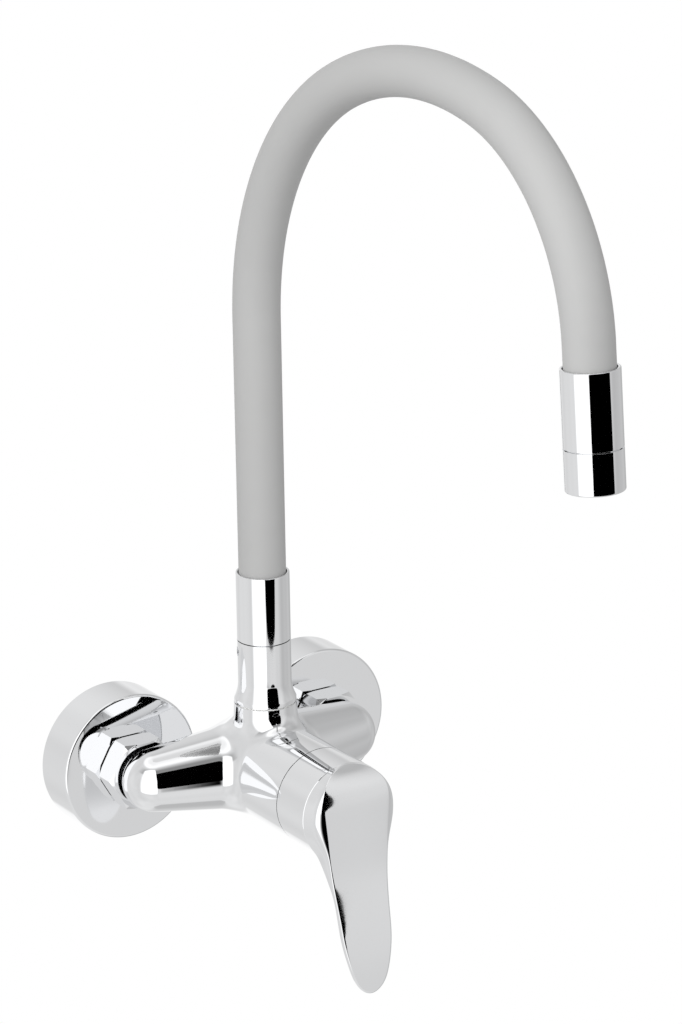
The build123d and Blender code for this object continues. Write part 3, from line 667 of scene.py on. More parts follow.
@dataclass
class WallSide:
    """The cover flange and union nut of one inlet."""

    side: str
    x: float
    flange_radius: float = 33.4
    flange_depth: float = 20.9
    flange_wall: float = 1.4
    flange_edge: float = 1.1
    hole_radius: float = 13.5
    nut_flats: float = 30.0
    nut_front: float = -33.6
    nut_back: float = -21.6
    nut_nose: float = 15.4
    nut_step: float = 0.2
    cone_reach: float = 4.0
    back_cone: float = 2.3
    front_cone: float = 4.2
    nose_length: float = 0.9
    front_wall: float = 2.1
    thread_radius: float = 13.27
    neck_radius: float = 10.7
    nut_edge: float = 1.1

    def flange(self) -> None:
        """Spin the cover flange: a shallow cup with a mirror-flat face."""
        r, d, w = self.flange_radius, self.flange_depth, self.flange_wall
        corners = [
            (r - w, 0.0),
            (r, 0.0, 0.3),
            (r, d, self.flange_edge),
            (self.hole_radius, d, 0.25),
            (self.hole_radius, d - w),
            (r - w, d - w, 0.6),
        ]
        seat = seat_at(self.x, 0, 0, TO_ROOM)
        piece = spun(f"cover_flange_{self.side}", rounded(corners, 6), seat, 160)
        Bench.smooth(piece)
        Bench.finish(piece, CHROME, "mixer_body", "chrome_trim", f"wall_flange_{self.side}")

    def nut(self) -> None:
        """Shape the union nut: a hexagon whose corners are turned off to a round nose."""
        half_side = math.pi / 6
        front, back = -self.nut_front, -self.nut_back
        Bench.clear()
        bpy.ops.mesh.primitive_cylinder_add(
            vertices=6,
            radius=self.nut_flats / 2 / math.cos(half_side) * MM,
            depth=abs(self.nut_front - self.nut_back) * MM,
            end_fill_type="NGON",
        )
        piece = bpy.context.object
        piece.name = f"hex_nut_{self.side}"
        Bench.edit(piece)
        bpy.ops.transform.rotate(value=half_side, orient_axis="Z", center_override=(0, 0, 0))
        bpy.ops.object.mode_set(mode="OBJECT")
        middle = (self.nut_front + self.nut_back) / 2
        Bench.settle(piece, seat_at(self.x, middle, 0, TO_ROOM))
        seat = seat_at(self.x, 0, 0, TO_ROOM)
        cone, floor = self.nut_nose + self.cone_reach, front - self.front_wall
        outer = [
            (0.0, back),
            (self.nut_nose + self.nut_step, back),
            (cone, back + self.back_cone),
            (cone, front - self.front_cone),
            (self.nut_nose, front - self.nose_length),
            (self.nut_nose, front),
            (0.0, front),
        ]
        Bench.cut(piece, spun("turning", outer, seat, 96), "INTERSECT")
        bore = [
            (0.0, back - SPARE),
            (self.thread_radius, back - SPARE),
            (self.thread_radius, floor),
            (self.neck_radius, floor),
            (self.neck_radius, front + SPARE),
            (0.0, front + SPARE),
        ]
        Bench.cut(piece, spun("bore", bore, seat, 96))
        Bench.close(piece)
        limits = {"limit_method": "ANGLE", "angle_limit": math.radians(28)}
        Bench.apply(piece, "BEVEL", width=self.nut_edge * MM, segments=5, **limits)
        Bench.smooth(piece, 40)
        Bench.finish(piece, CHROME, "mixer_body", "chrome_trim", f"union_nut_{self.side}")


@dataclass
class BodyCasting:
    """The cast body: a barrel, two tapered arms that flow into it, and the neck of the spout.

    The rough fields shape the solids that are remeshed and then drawn onto the exact form.
    """

    arm_x: float = 50.0
    arm_y: float = -40.3
    arm_radius: float = 14.1
    root_y: float = -47.6
    root_radius: float = 20.6
    arm_blend: float = 6.0
    barrel_radius: float = 22.1
    front_y: float = -97.7
    chamber_floor: float = -74.2
    chamber_radius: float = 17.6
    nut_radius: float = 19.35
    back_y: float = -35.3
    neck_y: float = -54.3
    neck_top: float = 31.0
    neck_cut: float = 28.6
    neck_radius: float = 13.9
    neck_foot: float = 15.8
    neck_blend: float = 6.0
    bore_radius: float = 8.5
    bore_floor: float = 5.0
    bore_top: float = 45.0
    step_y: float = -90.5
    arm_balls: int = 9
    rough_front: float = -110.0
    rough_back: float = 0.7
    rough_tail: float = 15.0
    rough_neck: float = 40.0
    rough_taper: float = 0.6
    voxel: float = 0.85
    softening: int = 6
    passes: int = 6
    probe: float = 0.01
    least_steepness: float = 0.25

    def shape(self, p: np.ndarray) -> np.ndarray:
        """Measure how far points lie outside the cast form, in millimetres.

        Args:
            p: Points, one per row.

        Returns:
            The distance of each point, negative inside.
        """
        q = np.abs(p[:, 0])
        a = np.array([self.arm_x, self.arm_y, 0.0])
        b = np.array([0.0, self.root_y, 0.0])
        arms = self.round_cone(np.column_stack([q, p[:, 1], p[:, 2]]), a, b)
        y = np.minimum(p[:, 1], self.root_y)
        barrel = np.sqrt(p[:, 0] ** 2 + (p[:, 1] - y) ** 2 + p[:, 2] ** 2) - self.barrel_radius
        slope = (self.neck_foot - self.neck_radius) / self.neck_top
        rho = np.hypot(p[:, 0], p[:, 1] - self.neck_y)
        neck = (rho - (self.neck_foot - slope * p[:, 2])) / math.sqrt(1 + slope**2)
        neck = np.maximum(neck, -p[:, 2])
        return self.blend(self.blend(arms, barrel, self.arm_blend), neck, self.neck_blend)

    def round_cone(self, p: np.ndarray, a: np.ndarray, b: np.ndarray) -> np.ndarray:
        """Measure the distance to an arm, a sphere swept along a line while it grows.

        Args:
            p: Points, one per row.
            a: The middle of the arm's end.
            b: The middle of its root.

        Returns:
            The distance of each point, negative inside.
        """
        ba = b - a
        length2 = float(ba @ ba)
        rr = self.arm_radius - self.root_radius
        a2 = length2 - rr * rr
        pa = p - a
        y = pa @ ba
        z = y - length2
        cross = pa * length2 - np.outer(y, ba)
        x2 = np.einsum("ij,ij->i", cross, cross)
        y2 = y * y * length2
        z2 = z * z * length2
        k = np.sign(rr) * rr * rr * x2
        at_b = np.sqrt(x2 + z2) / length2 - self.root_radius
        at_a = np.sqrt(x2 + y2) / length2 - self.arm_radius
        side = (np.sqrt(x2 * a2 / length2) + y * rr) / length2 - self.arm_radius
        first = np.sign(z) * a2 * z2 > k
        second = np.sign(y) * a2 * y2 < k
        return np.where(first, at_b, np.where(second, at_a, side))

    @staticmethod
    def blend(a: np.ndarray, b: np.ndarray, radius: float) -> np.ndarray:
        """Join two forms.

        Args:
            a: The distances to one form.
            b: The distances to the other.
            radius: The radius of the fillet between them.

        Returns:
            The distances to both together.
        """
        u = np.maximum(radius - a, 0.0)
        v = np.maximum(radius - b, 0.0)
        return np.maximum(radius, np.minimum(a, b)) - np.hypot(u, v)

    def settle_on_form(self, piece: bpy.types.Object) -> None:
        """Move each point of the remeshed casting onto the exact form.

        Args:
            piece: The casting.
        """
        count = len(piece.data.vertices)
        flat = np.empty(count * 3)
        piece.data.vertices.foreach_get("co", flat)
        p = flat.reshape(-1, 3) / MM
        for _ in range(self.passes):
            f = self.shape(p)
            slope = np.empty_like(p)
            for axis in range(3):
                step = np.zeros(3)
                step[axis] = self.probe
                slope[:, axis] = (self.shape(p + step) - self.shape(p - step)) / (2 * self.probe)
            steepness = np.maximum(np.einsum("ij,ij->i", slope, slope), self.least_steepness)
            p = p - slope * (f / steepness)[:, None]
        piece.data.vertices.foreach_set("co", (p * MM).ravel())
        piece.data.update()

    @staticmethod
    def slice_off(piece: bpy.types.Object, point: Point3, normal: Point3) -> None:
        """Cut a piece flat and close the cut.

        Args:
            piece: The piece.
            point: A point of the cut.
            normal: The side that goes.
        """
        Bench.edit(piece)
        bpy.ops.mesh.bisect(
            plane_co=Vector(point) * MM, plane_no=normal, use_fill=True, clear_outer=True, threshold=1e-6
        )
        bpy.ops.object.mode_set(mode="OBJECT")

    def build(self) -> None:
        """Build the casting from rough solids, remeshed and drawn onto the exact form."""
        seat, neck_seat = seat_at(0, 0, 0, TO_WALL), seat_at(0, self.neck_y, 0, UP)
        rough = []
        Bench.clear()
        for sign in (-1, 1):
            tip = Vector((sign * self.arm_x, self.arm_y, 0))
            run = Vector((0, self.root_y, 0)) - tip
            for t in np.linspace(0.0, 1.0, self.arm_balls):
                place = tip + run * float(t)
                radius = self.arm_radius + (self.root_radius - self.arm_radius) * float(t)
                bpy.ops.mesh.primitive_uv_sphere_add(
                    segments=48, ring_count=24, radius=radius * MM, location=place * MM
                )
                rough.append(bpy.context.object)
        back = self.root_y + self.barrel_radius * self.rough_back
        barrel = [
            (0, self.rough_front),
            (self.barrel_radius, self.rough_front),
            (self.barrel_radius, self.root_y),
            (self.rough_tail, back),
            (0, back),
        ]
        rough.append(spun("barrel", barrel, seat, 96))
        neck_end = self.neck_radius - self.rough_taper
        neck = [(0, 0), (self.neck_foot, 0), (neck_end, self.rough_neck), (0, self.rough_neck)]
        rough.append(spun("neck", neck, neck_seat, 96))
        skin = rough.pop()
        skin.name = "casting"
        Bench.join(skin, *rough)
        Bench.settle(skin)
        Bench.apply(skin, "REMESH", mode="VOXEL", voxel_size=self.voxel * MM, adaptivity=0.0)
        Bench.apply(skin, "SMOOTH", factor=0.5, iterations=self.softening)
        self.settle_on_form(skin)
        self.slice_off(skin, (0, self.chamber_floor, 0), TO_ROOM)
        self.slice_off(skin, (0, self.back_y, 0), TO_WALL)
        self.slice_off(skin, (0, 0, self.neck_cut), UP)
        Bench.close(skin, merge_mm=0.01)
        floor, top = self.bore_floor, self.bore_top
        bore = [(0, floor), (self.bore_radius, floor), (self.bore_radius, top), (0, top)]
        Bench.cut(skin, spun("bore", bore, neck_seat, 96))
        Bench.smooth(skin, 35, weigh=False)
        Bench.join(skin, self.front_collar(seat), self.neck_collar(neck_seat))
        Bench.finish(skin, CHROME, "mixer_body", "chrome_body", "body_casting")

    def front_collar(self, seat: Matrix) -> bpy.types.Object:
        """Spin the barrel's front, with the crisp edge that meets the cap ring.

        Args:
            seat: The barrel's axis.

        Returns:
            The piece.
        """
        corners = [
            (self.chamber_radius, self.chamber_floor),
            (self.barrel_radius, self.chamber_floor),
            (self.barrel_radius, self.front_y, 0.1),
            (self.nut_radius, self.front_y),
            (self.nut_radius, self.step_y),
            (self.chamber_radius, self.step_y),
        ]
        piece = spun("front_collar", rounded(corners, 3), seat, 192)
        Bench.smooth(piece)
        return piece

    def neck_collar(self, seat: Matrix) -> bpy.types.Object:
        """Spin the top of the neck, with the crisp edge that meets the spout.

        Args:
            seat: The neck's axis.

        Returns:
            The piece.
        """
        slope = (self.neck_foot - self.neck_radius) / self.neck_top
        corners = [
            (self.bore_radius, self.neck_cut),
            (self.neck_foot - slope * self.neck_cut, self.neck_cut),
            (self.neck_radius, self.neck_top, 0.12),
            (self.bore_radius, self.neck_top),
        ]
        piece = spun("neck_collar", rounded(corners, 3), seat, 160)
        Bench.smooth(piece)
        return piece


@dataclass
class CapRing:
    """The ring over the cartridge, whose front edge lies on a sphere about the lever's pivot."""

    radius: float = 22.1
    wall: float = 1.5
    back_y: float = -97.7
    front_y: float = -119.0
    pivot_y: float = -95.0
    thread_radius: float = 19.35
    thread_end: float = -104.0
    seam: float = 0.42
    seam_depth: float = 1.9

    def build(self) -> None:
        """Spin the cap ring."""
        swing = math.hypot(self.pivot_y - self.front_y, self.radius)
        inner = self.radius - self.wall
        lip = self.pivot_y - math.sqrt(swing**2 - inner**2)
        corners = [
            (self.thread_radius, self.back_y),
            (self.radius - self.seam_depth, self.back_y),
            (self.radius - self.seam_depth, self.back_y - self.seam),
            (self.radius, self.back_y - self.seam, 0.08),
            (self.radius, self.front_y, 0.15),
            (inner, lip),
            (inner, self.thread_end),
            (self.thread_radius, self.thread_end),
        ]
        piece = spun("cartridge_cap", rounded(corners, 3), seat_at(0, 0, 0, TO_WALL), 192)
        Bench.smooth(piece)
        Bench.finish(piece, CHROME, "mixer_body", "chrome_trim", "cap_ring")


@dataclass
class LeverHandle:
    """The lever: a round head over the cap ring whose flat face runs down into a thin blade.

    outline is the edge of the flat face, down its one side, as (x, z). front and back are the middle lines
    of the face and of the back as (y, z). The rounded edge of the face is edge_width wide at the top of the
    head, head_edge wider below it and cheek_edge wider still at the head's sides. web rounds the corner
    between the head's rim and the blade, and tuck draws the blade's back in. A fade gives the heights, or
    the depths below the axis, over which such a change comes in. room is the hollow of the head.
    """

    rim_y: float = -119.35
    rim_radius: float = 22.1
    shelf_z: float = -13.0
    flank_share: float = 0.45
    face_reach: float = 1.35
    crown: float = 0.35
    crown_width: float = 17.0
    edge_width: float = 0.15
    head_edge: float = 0.65
    head_fade: Point2 = (6.0, 18.0)
    cheek_edge: float = 2.2
    cheek_z: float = -1.0
    cheek_span: float = 19.0
    web: float = 2.0
    web_fade: Point2 = (8.0, 14.0)
    tuck: float = 0.2
    tuck_fade: Point2 = (10.0, 20.0)
    spine: Point2 = (-69.0, 6.0)
    pivot_y: float = -95.0
    swing: float = 32.98
    roof_y: float = -126.89
    room_end: float = -30.0
    room_mouth: float = -105.0
    room_gap: float = 0.01
    hub_radius: float = 7.9
    hub_back: float = -108.69
    hub_root: float = 0.3
    socket: float = 8.1
    socket_depth: float = 15.6
    socket_spare: float = 0.4
    screw_y: float = -114.09
    screw_radius: float = 2.55
    screw_reach: float = 9.0
    steps: int = 110
    edge_rings: int = 13
    back_shares: tuple[float, ...] = (0.35, 0.7, 0.93)
    flank_shares: tuple[float, ...] = (0.33, 0.67)
    face_shares: tuple[float, ...] = (0.9, 0.78, 0.64, 0.5, 0.36, 0.22, 0.1)
    outline: tuple[Point2, ...] = (
        (0.0, 21.8),
        (6.0, 21.1),
        (10.4, 19.1),
        (14.3, 15.6),
        (16.7, 9.5),
        (16.8, 3.0),
        (16.1, -4.4),
        (15.3, -12.0),
        (14.2, -22.2),
        (13.0, -33.0),
        (12.2, -44.0),
        (11.5, -55.0),
        (10.3, -62.0),
        (8.4, -69.2),
        (5.2, -75.3),
        (0.0, -78.0),
    )
    front: tuple[Point2, ...] = (
        (-118.0, 23.4),
        (-120.3, 22.0),
        (-124.0, 18.5),
        (-126.6, 14.0),
        (-128.1, 8.0),
        (-128.6, 0.0),
        (-129.1, -12.0),
        (-130.6, -29.0),
        (-133.3, -42.0),
        (-135.8, -54.0),
        (-138.0, -70.0),
        (-138.8, -84.0),
    )
    back: tuple[Point2, ...] = (
        (-119.35, -10.0),
        (-119.4, -13.0),
        (-120.5, -17.0),
        (-122.6, -21.0),
        (-124.6, -24.5),
        (-126.8, -29.0),
        (-128.4, -32.5),
        (-130.9, -43.5),
        (-133.7, -57.0),
        (-136.0, -70.0),
        (-136.9, -84.0),
    )

    @staticmethod
    def spline(knots: Sequence[float], values: Sequence[float]) -> Curve:
        """Fit a smooth curve through points.

        Args:
            knots: Where the points lie, rising.
            values: The values there.

        Returns:
            The curve.
        """
        z = np.array(knots)
        y = np.array(values)
        n = len(z)
        h = np.diff(z)
        a = np.zeros((n, n))
        rhs = np.zeros(n)
        a[0, 0] = a[-1, -1] = 1.0
        for i in range(1, n - 1):
            a[i, i - 1] = h[i - 1]
            a[i, i] = 2 * (h[i - 1] + h[i])
            a[i, i + 1] = h[i]
            rhs[i] = 6 * ((y[i + 1] - y[i]) / h[i] - (y[i] - y[i - 1]) / h[i - 1])
        m = np.linalg.solve(a, rhs)

        def curve(at: float) -> float:
            """Work out the value at one place.

            Args:
                at: The place, also a little before the first or past the last point.

            Returns:
                The value.
            """
            i = int(min(max(np.searchsorted(z, at) - 1, 0), n - 2))
            u, v = z[i + 1] - at, at - z[i]
            return float(
                (m[i] * u**3 + m[i + 1] * v**3) / (6 * h[i])
                + (y[i] / h[i] - m[i] * h[i] / 6) * u
                + (y[i + 1] / h[i] - m[i + 1] * h[i] / 6) * v
            )

        return curve

    def profile(self, points: Sequence[Point2]) -> Curve:
        """Fit a curve y(z) through points of (y, z)."""
        rows = sorted((z, y) for y, z in points)
        return self.spline([r[0] for r in rows], [r[1] for r in rows])

    def face_edge(self) -> list[tuple[Vector, Vector]]:
        """Trace where the flat face ends, all the way round from the top.

        Returns:
            Points of the outline as (x, z), each with its outward direction.
        """
        # Three mirrored points past each end keep the curve level where it crosses the middle.
        above = [(-x, z) for x, z in self.outline[3:0:-1]]
        below = [(-x, z) for x, z in self.outline[-2:-5:-1]]
        chain = above + list(self.outline) + below
        at = np.concatenate([[0.0], np.cumsum([math.dist(p, q) for p, q in zip(chain, chain[1:])])])
        across = self.spline(at, [p[0] for p in chain])
        height = self.spline(at, [p[1] for p in chain])
        first, last = float(at[len(above)]), float(at[-len(below) - 1])
        probe = 0.05
        half = []
        for s in np.linspace(first, last, self.steps):
            s = float(s)
            before, after = s - probe, s + probe
            along = Vector((across(after) - across(before), height(after) - height(before))).normalized()
            half.append((Vector((across(s), height(s))), Vector((-along.y, along.x))))
        mirrored = [(Vector((-p.x, p.y)), Vector((-n.x, n.y))) for p, n in half[-2:0:-1]]
        return half + mirrored

    def rings(self) -> list[list[Vector]]:
        """Work out the rings of the outside, from the middle of the back to the middle of the face.

        Returns:
            Rings of points in millimetres, all of one length.
        """
        front, back_curve = self.profile(self.front), self.profile(self.back)

        def back(z: float) -> float:
            """Return y of the back: flat behind the head, then the back of the blade."""
            return self.rim_y if z >= self.shelf_z else back_curve(z)

        def face(x: float, z: float) -> float:
            """Return y of the slightly crowned face."""
            return front(z) + self.crown * (x / self.crown_width) ** 2

        backs, corners, inners = [], [], []
        for edge, out in self.face_edge():
            z = edge.y
            away = min(abs(z - self.cheek_z) / self.cheek_span, 1.0)
            cheek = 0.5 + 0.5 * math.cos(math.pi * away)
            width = self.edge_width + self.head_edge * (1 - smoothstep(z, *self.head_fade))
            width += self.cheek_edge * cheek
            corner = edge + out * width
            length = corner.length
            web = self.web * smoothstep(-z, *self.web_fade)
            gap = length - self.rim_radius
            reach = (length + self.rim_radius + math.sqrt(gap**2 + web)) / 2
            rim = (corner - out * self.tuck * smoothstep(-z, *self.tuck_fade)) * (reach / length)
            inner = corner - out * width * self.face_reach
            backs.append(Vector((rim.x, back(rim.y), rim.y)))
            corners.append(Vector((corner.x, face(corner.x, corner.y), corner.y)))
            inners.append(Vector((inner.x, face(inner.x, inner.y), inner.y)))
        starts = [c.lerp(b, self.flank_share) for b, c in zip(backs, corners)]

        def shrunk(ring: list[Vector], share: float, surface: Surface) -> list[Vector]:
            """Draw a ring in towards the middle line of the handle.

            Args:
                ring: The ring.
                share: The part of its width that is left.
                surface: Gives y at (x, z).

            Returns:
                The smaller ring, on the surface.
            """
            out = []
            for p in ring:
                middle = min(max(p.z, self.spine[0]), self.spine[1])
                x, z = p.x * share, middle + (p.z - middle) * share
                out.append(Vector((x, surface(x, z), z)))
            return out

        found = [shrunk(backs, share, lambda x, z: back(z)) for share in self.back_shares]
        found.append(backs)
        found += [[b.lerp(s, share) for b, s in zip(backs, starts)] for share in self.flank_shares]
        for t in np.linspace(0.0, 1.0, self.edge_rings):
            t = float(t)
            # A quadratic curve from the flank round the corner onto the face.
            flank, bend, top = (1 - t) ** 2, 2 * t * (1 - t), t**2
            found.append([s * flank + c * bend + i * top for s, c, i in zip(starts, corners, inners)])
        found += [shrunk(inners, share, face) for share in self.face_shares]
        return found

    @staticmethod
    def cover(piece: bpy.types.Object, first: int, count: int) -> None:
        """Close the hole in an end ring: faces across it, and one at its top and at its bottom.

        Args:
            piece: The skinned lever.
            first: The ring's first point, at its top.
            count: The points in the ring.
        """
        half = count // 2
        Bench.bridge(piece, [range(first + 1, first + half), range(first + half + 1, first + count)])
        for pole in (0, half):
            Bench.edit(piece)
            bpy.ops.mesh.select_all(action="DESELECT")
            bpy.ops.object.mode_set(mode="OBJECT")
            for k in (-1, 0, 1):
                piece.data.vertices[first + (pole + k) % count].select = True
            bpy.ops.object.mode_set(mode="EDIT")
            bpy.ops.mesh.edge_face_add()
            bpy.ops.object.mode_set(mode="OBJECT")

    def hub(self, seat: Matrix) -> bpy.types.Object:
        """Make the hub inside the head, with the socket for the stem and the screw's hole.

        Args:
            seat: The head's axis.

        Returns:
            The piece.
        """
        root = self.roof_y - self.hub_root
        corners = [
            (0.0, root),
            (self.hub_radius, root),
            (self.hub_radius, self.hub_back, 0.5),
            (0.0, self.hub_back),
        ]
        hub = spun("hub", rounded(corners, 3), seat, 96)
        Bench.clear()
        bpy.ops.mesh.primitive_cube_add(size=1.0)
        square = bpy.context.object
        mouth = self.hub_back + self.socket_spare
        depth = self.socket_depth + self.socket_spare
        square.scale = (self.socket * MM, depth * MM, self.socket * MM)
        square.location = Vector((0, mouth - depth / 2, 0)) * MM
        Bench.settle(square)
        Bench.cut(hub, square)
        radius, reach = self.screw_radius, self.screw_reach
        hole = [(0, 0), (radius, 0), (radius, reach), (0, reach)]
        Bench.cut(hub, spun("drill", hole, seat_at(0, self.screw_y, 0, (0, 0, -1)), 48))
        Bench.close(hub)
        Bench.smooth(hub)
        return hub

    def build(self) -> None:
        """Skin the rings, hollow the head and add the hub."""
        rings = self.rings()
        count = len(rings[0])
        piece = ringed("lever", rings)
        for first in (0, count * (len(rings) - 1)):
            self.cover(piece, first, count)
        Bench.close(piece, merge_mm=0.0005)
        seat = seat_at(0, 0, 0, TO_WALL)
        reach = math.sqrt(self.swing**2 - (self.pivot_y - self.roof_y) ** 2)
        low = math.asin((self.roof_y - self.pivot_y) / self.swing)
        arc = [
            (self.swing * math.cos(a), self.pivot_y + self.swing * math.sin(a))
            for a in np.linspace(low, math.radians(self.room_end), 25)
        ]
        mouth = [(arc[-1][0], self.room_mouth), (0.0, self.room_mouth)]
        room = [(0.0, self.roof_y), (reach - self.room_gap, self.roof_y), *arc[1:], *mouth]
        Bench.cut(piece, spun("room", room, seat, 128))
        Bench.close(piece, merge_mm=0.0005)
        Bench.smooth(piece, 28)
        Bench.join(piece, self.hub(seat))
        Bench.finish(piece, LEVER_CHROME, "lever_arm", "chrome_lever", "lever_handle")


@dataclass
class SpoutFoot:
    """The turning foot of the spout: bearing ring, base sleeve and the ferrule round the hose."""

    y: float = -54.3
    neck_top: float = 31.0
    sleeve_bottom: float = 31.7
    sleeve_top: float = 60.2
    ferrule_top: float = 91.4
    radius: float = 11.9
    collar_radius: float = 13.8
    collar_height: float = 1.5
    flare: float = 8.0
    bore: float = 8.45
    wide_bore: float = 10.0
    clamp_z: float = 50.0
    ferrule_floor: float = 65.0
    ferrule_wall: float = 1.1
    screw_turn: float = 160.0
    screw_z: float = 55.1
    hole_radius: float = 2.05
    hole_span: Point2 = (5.0, 16.0)
    ring_bore: float = 8.6
    ring_radius: float = 13.2
    skirt: float = 0.5
    skirt_radius: float = 13.3
    seam: float = 0.42
    seam_depth: float = 2.4

    def build(self) -> None:
        """Build the three rings of the foot."""
        seat = seat_at(0, self.y, 0, UP)
        profile = [
            (self.ring_bore, self.neck_top),
            (self.ring_radius, self.neck_top),
            (self.ring_radius, self.sleeve_bottom),
            (self.ring_bore, self.sleeve_bottom),
        ]
        ring = spun("turning_ring", profile, seat, 128)
        Bench.smooth(ring)
        Bench.finish(ring, BEARING, "mixer_body", "bearing_plastic", "bearing_ring")
        self.sleeve(seat)
        self.ferrule(seat)

    def sleeve(self, seat: Matrix) -> None:
        """Spin the base sleeve, flared at its foot, and drill its screw hole.

        Args:
            seat: The foot's axis.
        """
        foot = self.sleeve_bottom + self.collar_height
        width = self.collar_radius - self.radius
        radius = (width**2 + self.flare**2) / (2 * width)
        span = math.asin(self.flare / radius)
        flare = [
            (self.radius + radius * (1 - math.cos(a)), foot + self.flare - radius * math.sin(a))
            for a in np.linspace(span, 0.0, 15)
        ]
        corners: list[tuple[float, ...]] = [
            (self.wide_bore, self.sleeve_bottom),
            (self.skirt_radius, self.sleeve_bottom),
            (self.skirt_radius, self.neck_top + self.skirt),
            (self.collar_radius, self.neck_top + self.skirt, 0.15),
            *flare,
            (self.radius, self.sleeve_top, 0.1),
            (self.bore, self.sleeve_top),
            (self.bore, self.clamp_z),
            (self.wide_bore, self.clamp_z),
        ]
        piece = spun("foot_sleeve", rounded(corners, 3), seat, 160)
        a = math.radians(self.screw_turn)
        hole_seat = seat_at(0, self.y, self.screw_z, (math.cos(a), math.sin(a), 0))
        near, far = self.hole_span
        hole = [(0, near), (self.hole_radius, near), (self.hole_radius, far), (0, far)]
        Bench.cut(piece, spun("drill", hole, hole_seat, 48))
        Bench.close(piece)
        Bench.smooth(piece)
        Bench.finish(piece, CHROME, "spout_base", "chrome_trim", "base_sleeve")

    def ferrule(self, seat: Matrix) -> None:
        """Spin the ferrule that the hose stands in.

        Args:
            seat: The foot's axis.
        """
        inner = self.radius - self.ferrule_wall
        corners = [
            (self.bore, self.sleeve_top),
            (self.radius - self.seam_depth, self.sleeve_top),
            (self.radius - self.seam_depth, self.sleeve_top + self.seam),
            (self.radius, self.sleeve_top + self.seam, 0.08),
            (self.radius, self.ferrule_top, 0.45),
            (inner, self.ferrule_top, 0.3),
            (inner, self.ferrule_floor),
            (self.bore, self.ferrule_floor),
        ]
        piece = spun("hose_ferrule", rounded(corners, 4), seat, 160)
        Bench.smooth(piece)
        Bench.finish(piece, CHROME, "spout_base", "chrome_trim", "lower_ferrule")


@dataclass
class FlexTube:
    """A tube along the bendable spout, in one piece for each bend and one for each end.

    Its start, its end and its first joint are distances along the path. margin is a length at each end
    of a piece over a bend; it is read but not used, so these pieces neither bend nor ride on a body.
    """

    name: str
    path: SpoutPath
    outer: float
    inner: float
    start: float
    end: float
    finish: Finish
    slot: str
    node: str
    around: int = 64
    margin: float = 4.5
    first_joint: float = 48.0
    pitch: float = 56.0
    joints: int = 8
    ring_pitch: float = 2.4
    bodies: tuple[str, ...] = field(
        default_factory=lambda: ("spout_base", *[f"spout_part_{i}" for i in range(2, 9)], "spout_outlet")
    )

    def build(self) -> None:
        """Build all the pieces, which meet ring to ring halfway between the bends."""
        bends = [self.first_joint + self.pitch * i for i in range(self.joints)]
        cuts = [self.start, bends[0] - self.pitch / 2]
        cuts += [b + self.pitch / 2 for b in bends]
        cuts.append(self.end)
        for i, (low, high) in enumerate(zip(cuts, cuts[1:])):
            piece = self.tube(f"{self.name}_{i}", low, high)
            bending = 0 < i <= self.joints
            body = "" if bending else (self.bodies[0] if i == 0 else self.bodies[-1])
            Bench.finish(piece, self.finish, body, self.slot, self.node)
            if bending:
                a, b = self.path.at(low)[0], self.path.at(high)[0]
                along = (b - a).normalized()
                margin = self.margin
                self.bodies[i - 1]
                (a + along * margin) * MM
                (b - along * margin) * MM
                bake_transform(piece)

    def tube(self, name: str, low: float, high: float) -> bpy.types.Object:
        """Shape one piece: a ring that is extruded station by station, then given its inner wall.

        Args:
            name: The piece's name.
            low: Its first station.
            high: Its last station.

        Returns:
            The piece.
        """
        count = max(2, round((high - low) / self.ring_pitch) + 1)
        stations = [float(v) for v in np.linspace(low, high, count)]
        walls = [(v, self.outer) for v in stations] + [(v, self.inner) for v in reversed(stations)]
        turns = [2 * math.pi * i / self.around for i in range(self.around)]
        right = Vector((1, 0, 0))
        rings = []
        for distance, radius in walls:
            centre, along = self.path.at(distance)
            side = along.cross(right)
            rings.append([centre + (right * math.cos(t) + side * math.sin(t)) * radius for t in turns])
        piece = ringed(name, rings, closed=True)
        Bench.close(piece)
        Bench.smooth(piece, 35, weigh=False)
        return piece


@dataclass
class Outlet:
    """The chrome sleeve and the aerator housing at the end of the spout."""

    path: SpoutPath
    rim: float = 8.6
    seam: float = 39.7
    end: float = 57.2
    radius: float = 12.05
    wall: float = 1.2
    thread_radius: float = 10.05
    lip_radius: float = 9.0
    lip: float = 1.7
    play: float = 0.05
    shoulder: float = 1.3
    groove: float = 0.42
    groove_depth: float = 1.5

    def build(self) -> None:
        """Spin both pieces on the straight end of the path."""
        root, along = self.path.at(self.path.arc_end)
        seat = seat_at(root.x, root.y, root.z, along)
        inner = self.radius - self.wall
        bore, shoulder = self.thread_radius + self.play, self.seam - self.shoulder
        sleeve = [
            (inner, self.rim, 0.2),
            (self.radius, self.rim, 0.45),
            (self.radius, self.seam, 0.1),
            (bore, self.seam),
            (bore, shoulder),
            (inner, shoulder),
        ]
        piece = spun("spray_sleeve", rounded(sleeve, 4), seat, 160)
        Bench.smooth(piece)
        Bench.finish(piece, CHROME, "spout_outlet", "chrome_trim", "outlet_sleeve")
        housing = [
            (self.thread_radius, self.seam),
            (self.radius - self.groove_depth, self.seam),
            (self.radius - self.groove_depth, self.seam + self.groove),
            (self.radius, self.seam + self.groove, 0.08),
            (self.radius, self.end, 0.8),
            (self.lip_radius, self.end, 0.4),
            (self.lip_radius, self.end - self.lip),
            (self.thread_radius, self.end - self.lip),
        ]
        piece = spun("spray_housing", rounded(housing, 5), seat, 160)
        Bench.smooth(piece)
        Bench.finish(piece, CHROME, "spout_outlet", "chrome_trim", "aerator_housing")


# Carried-over pieces.


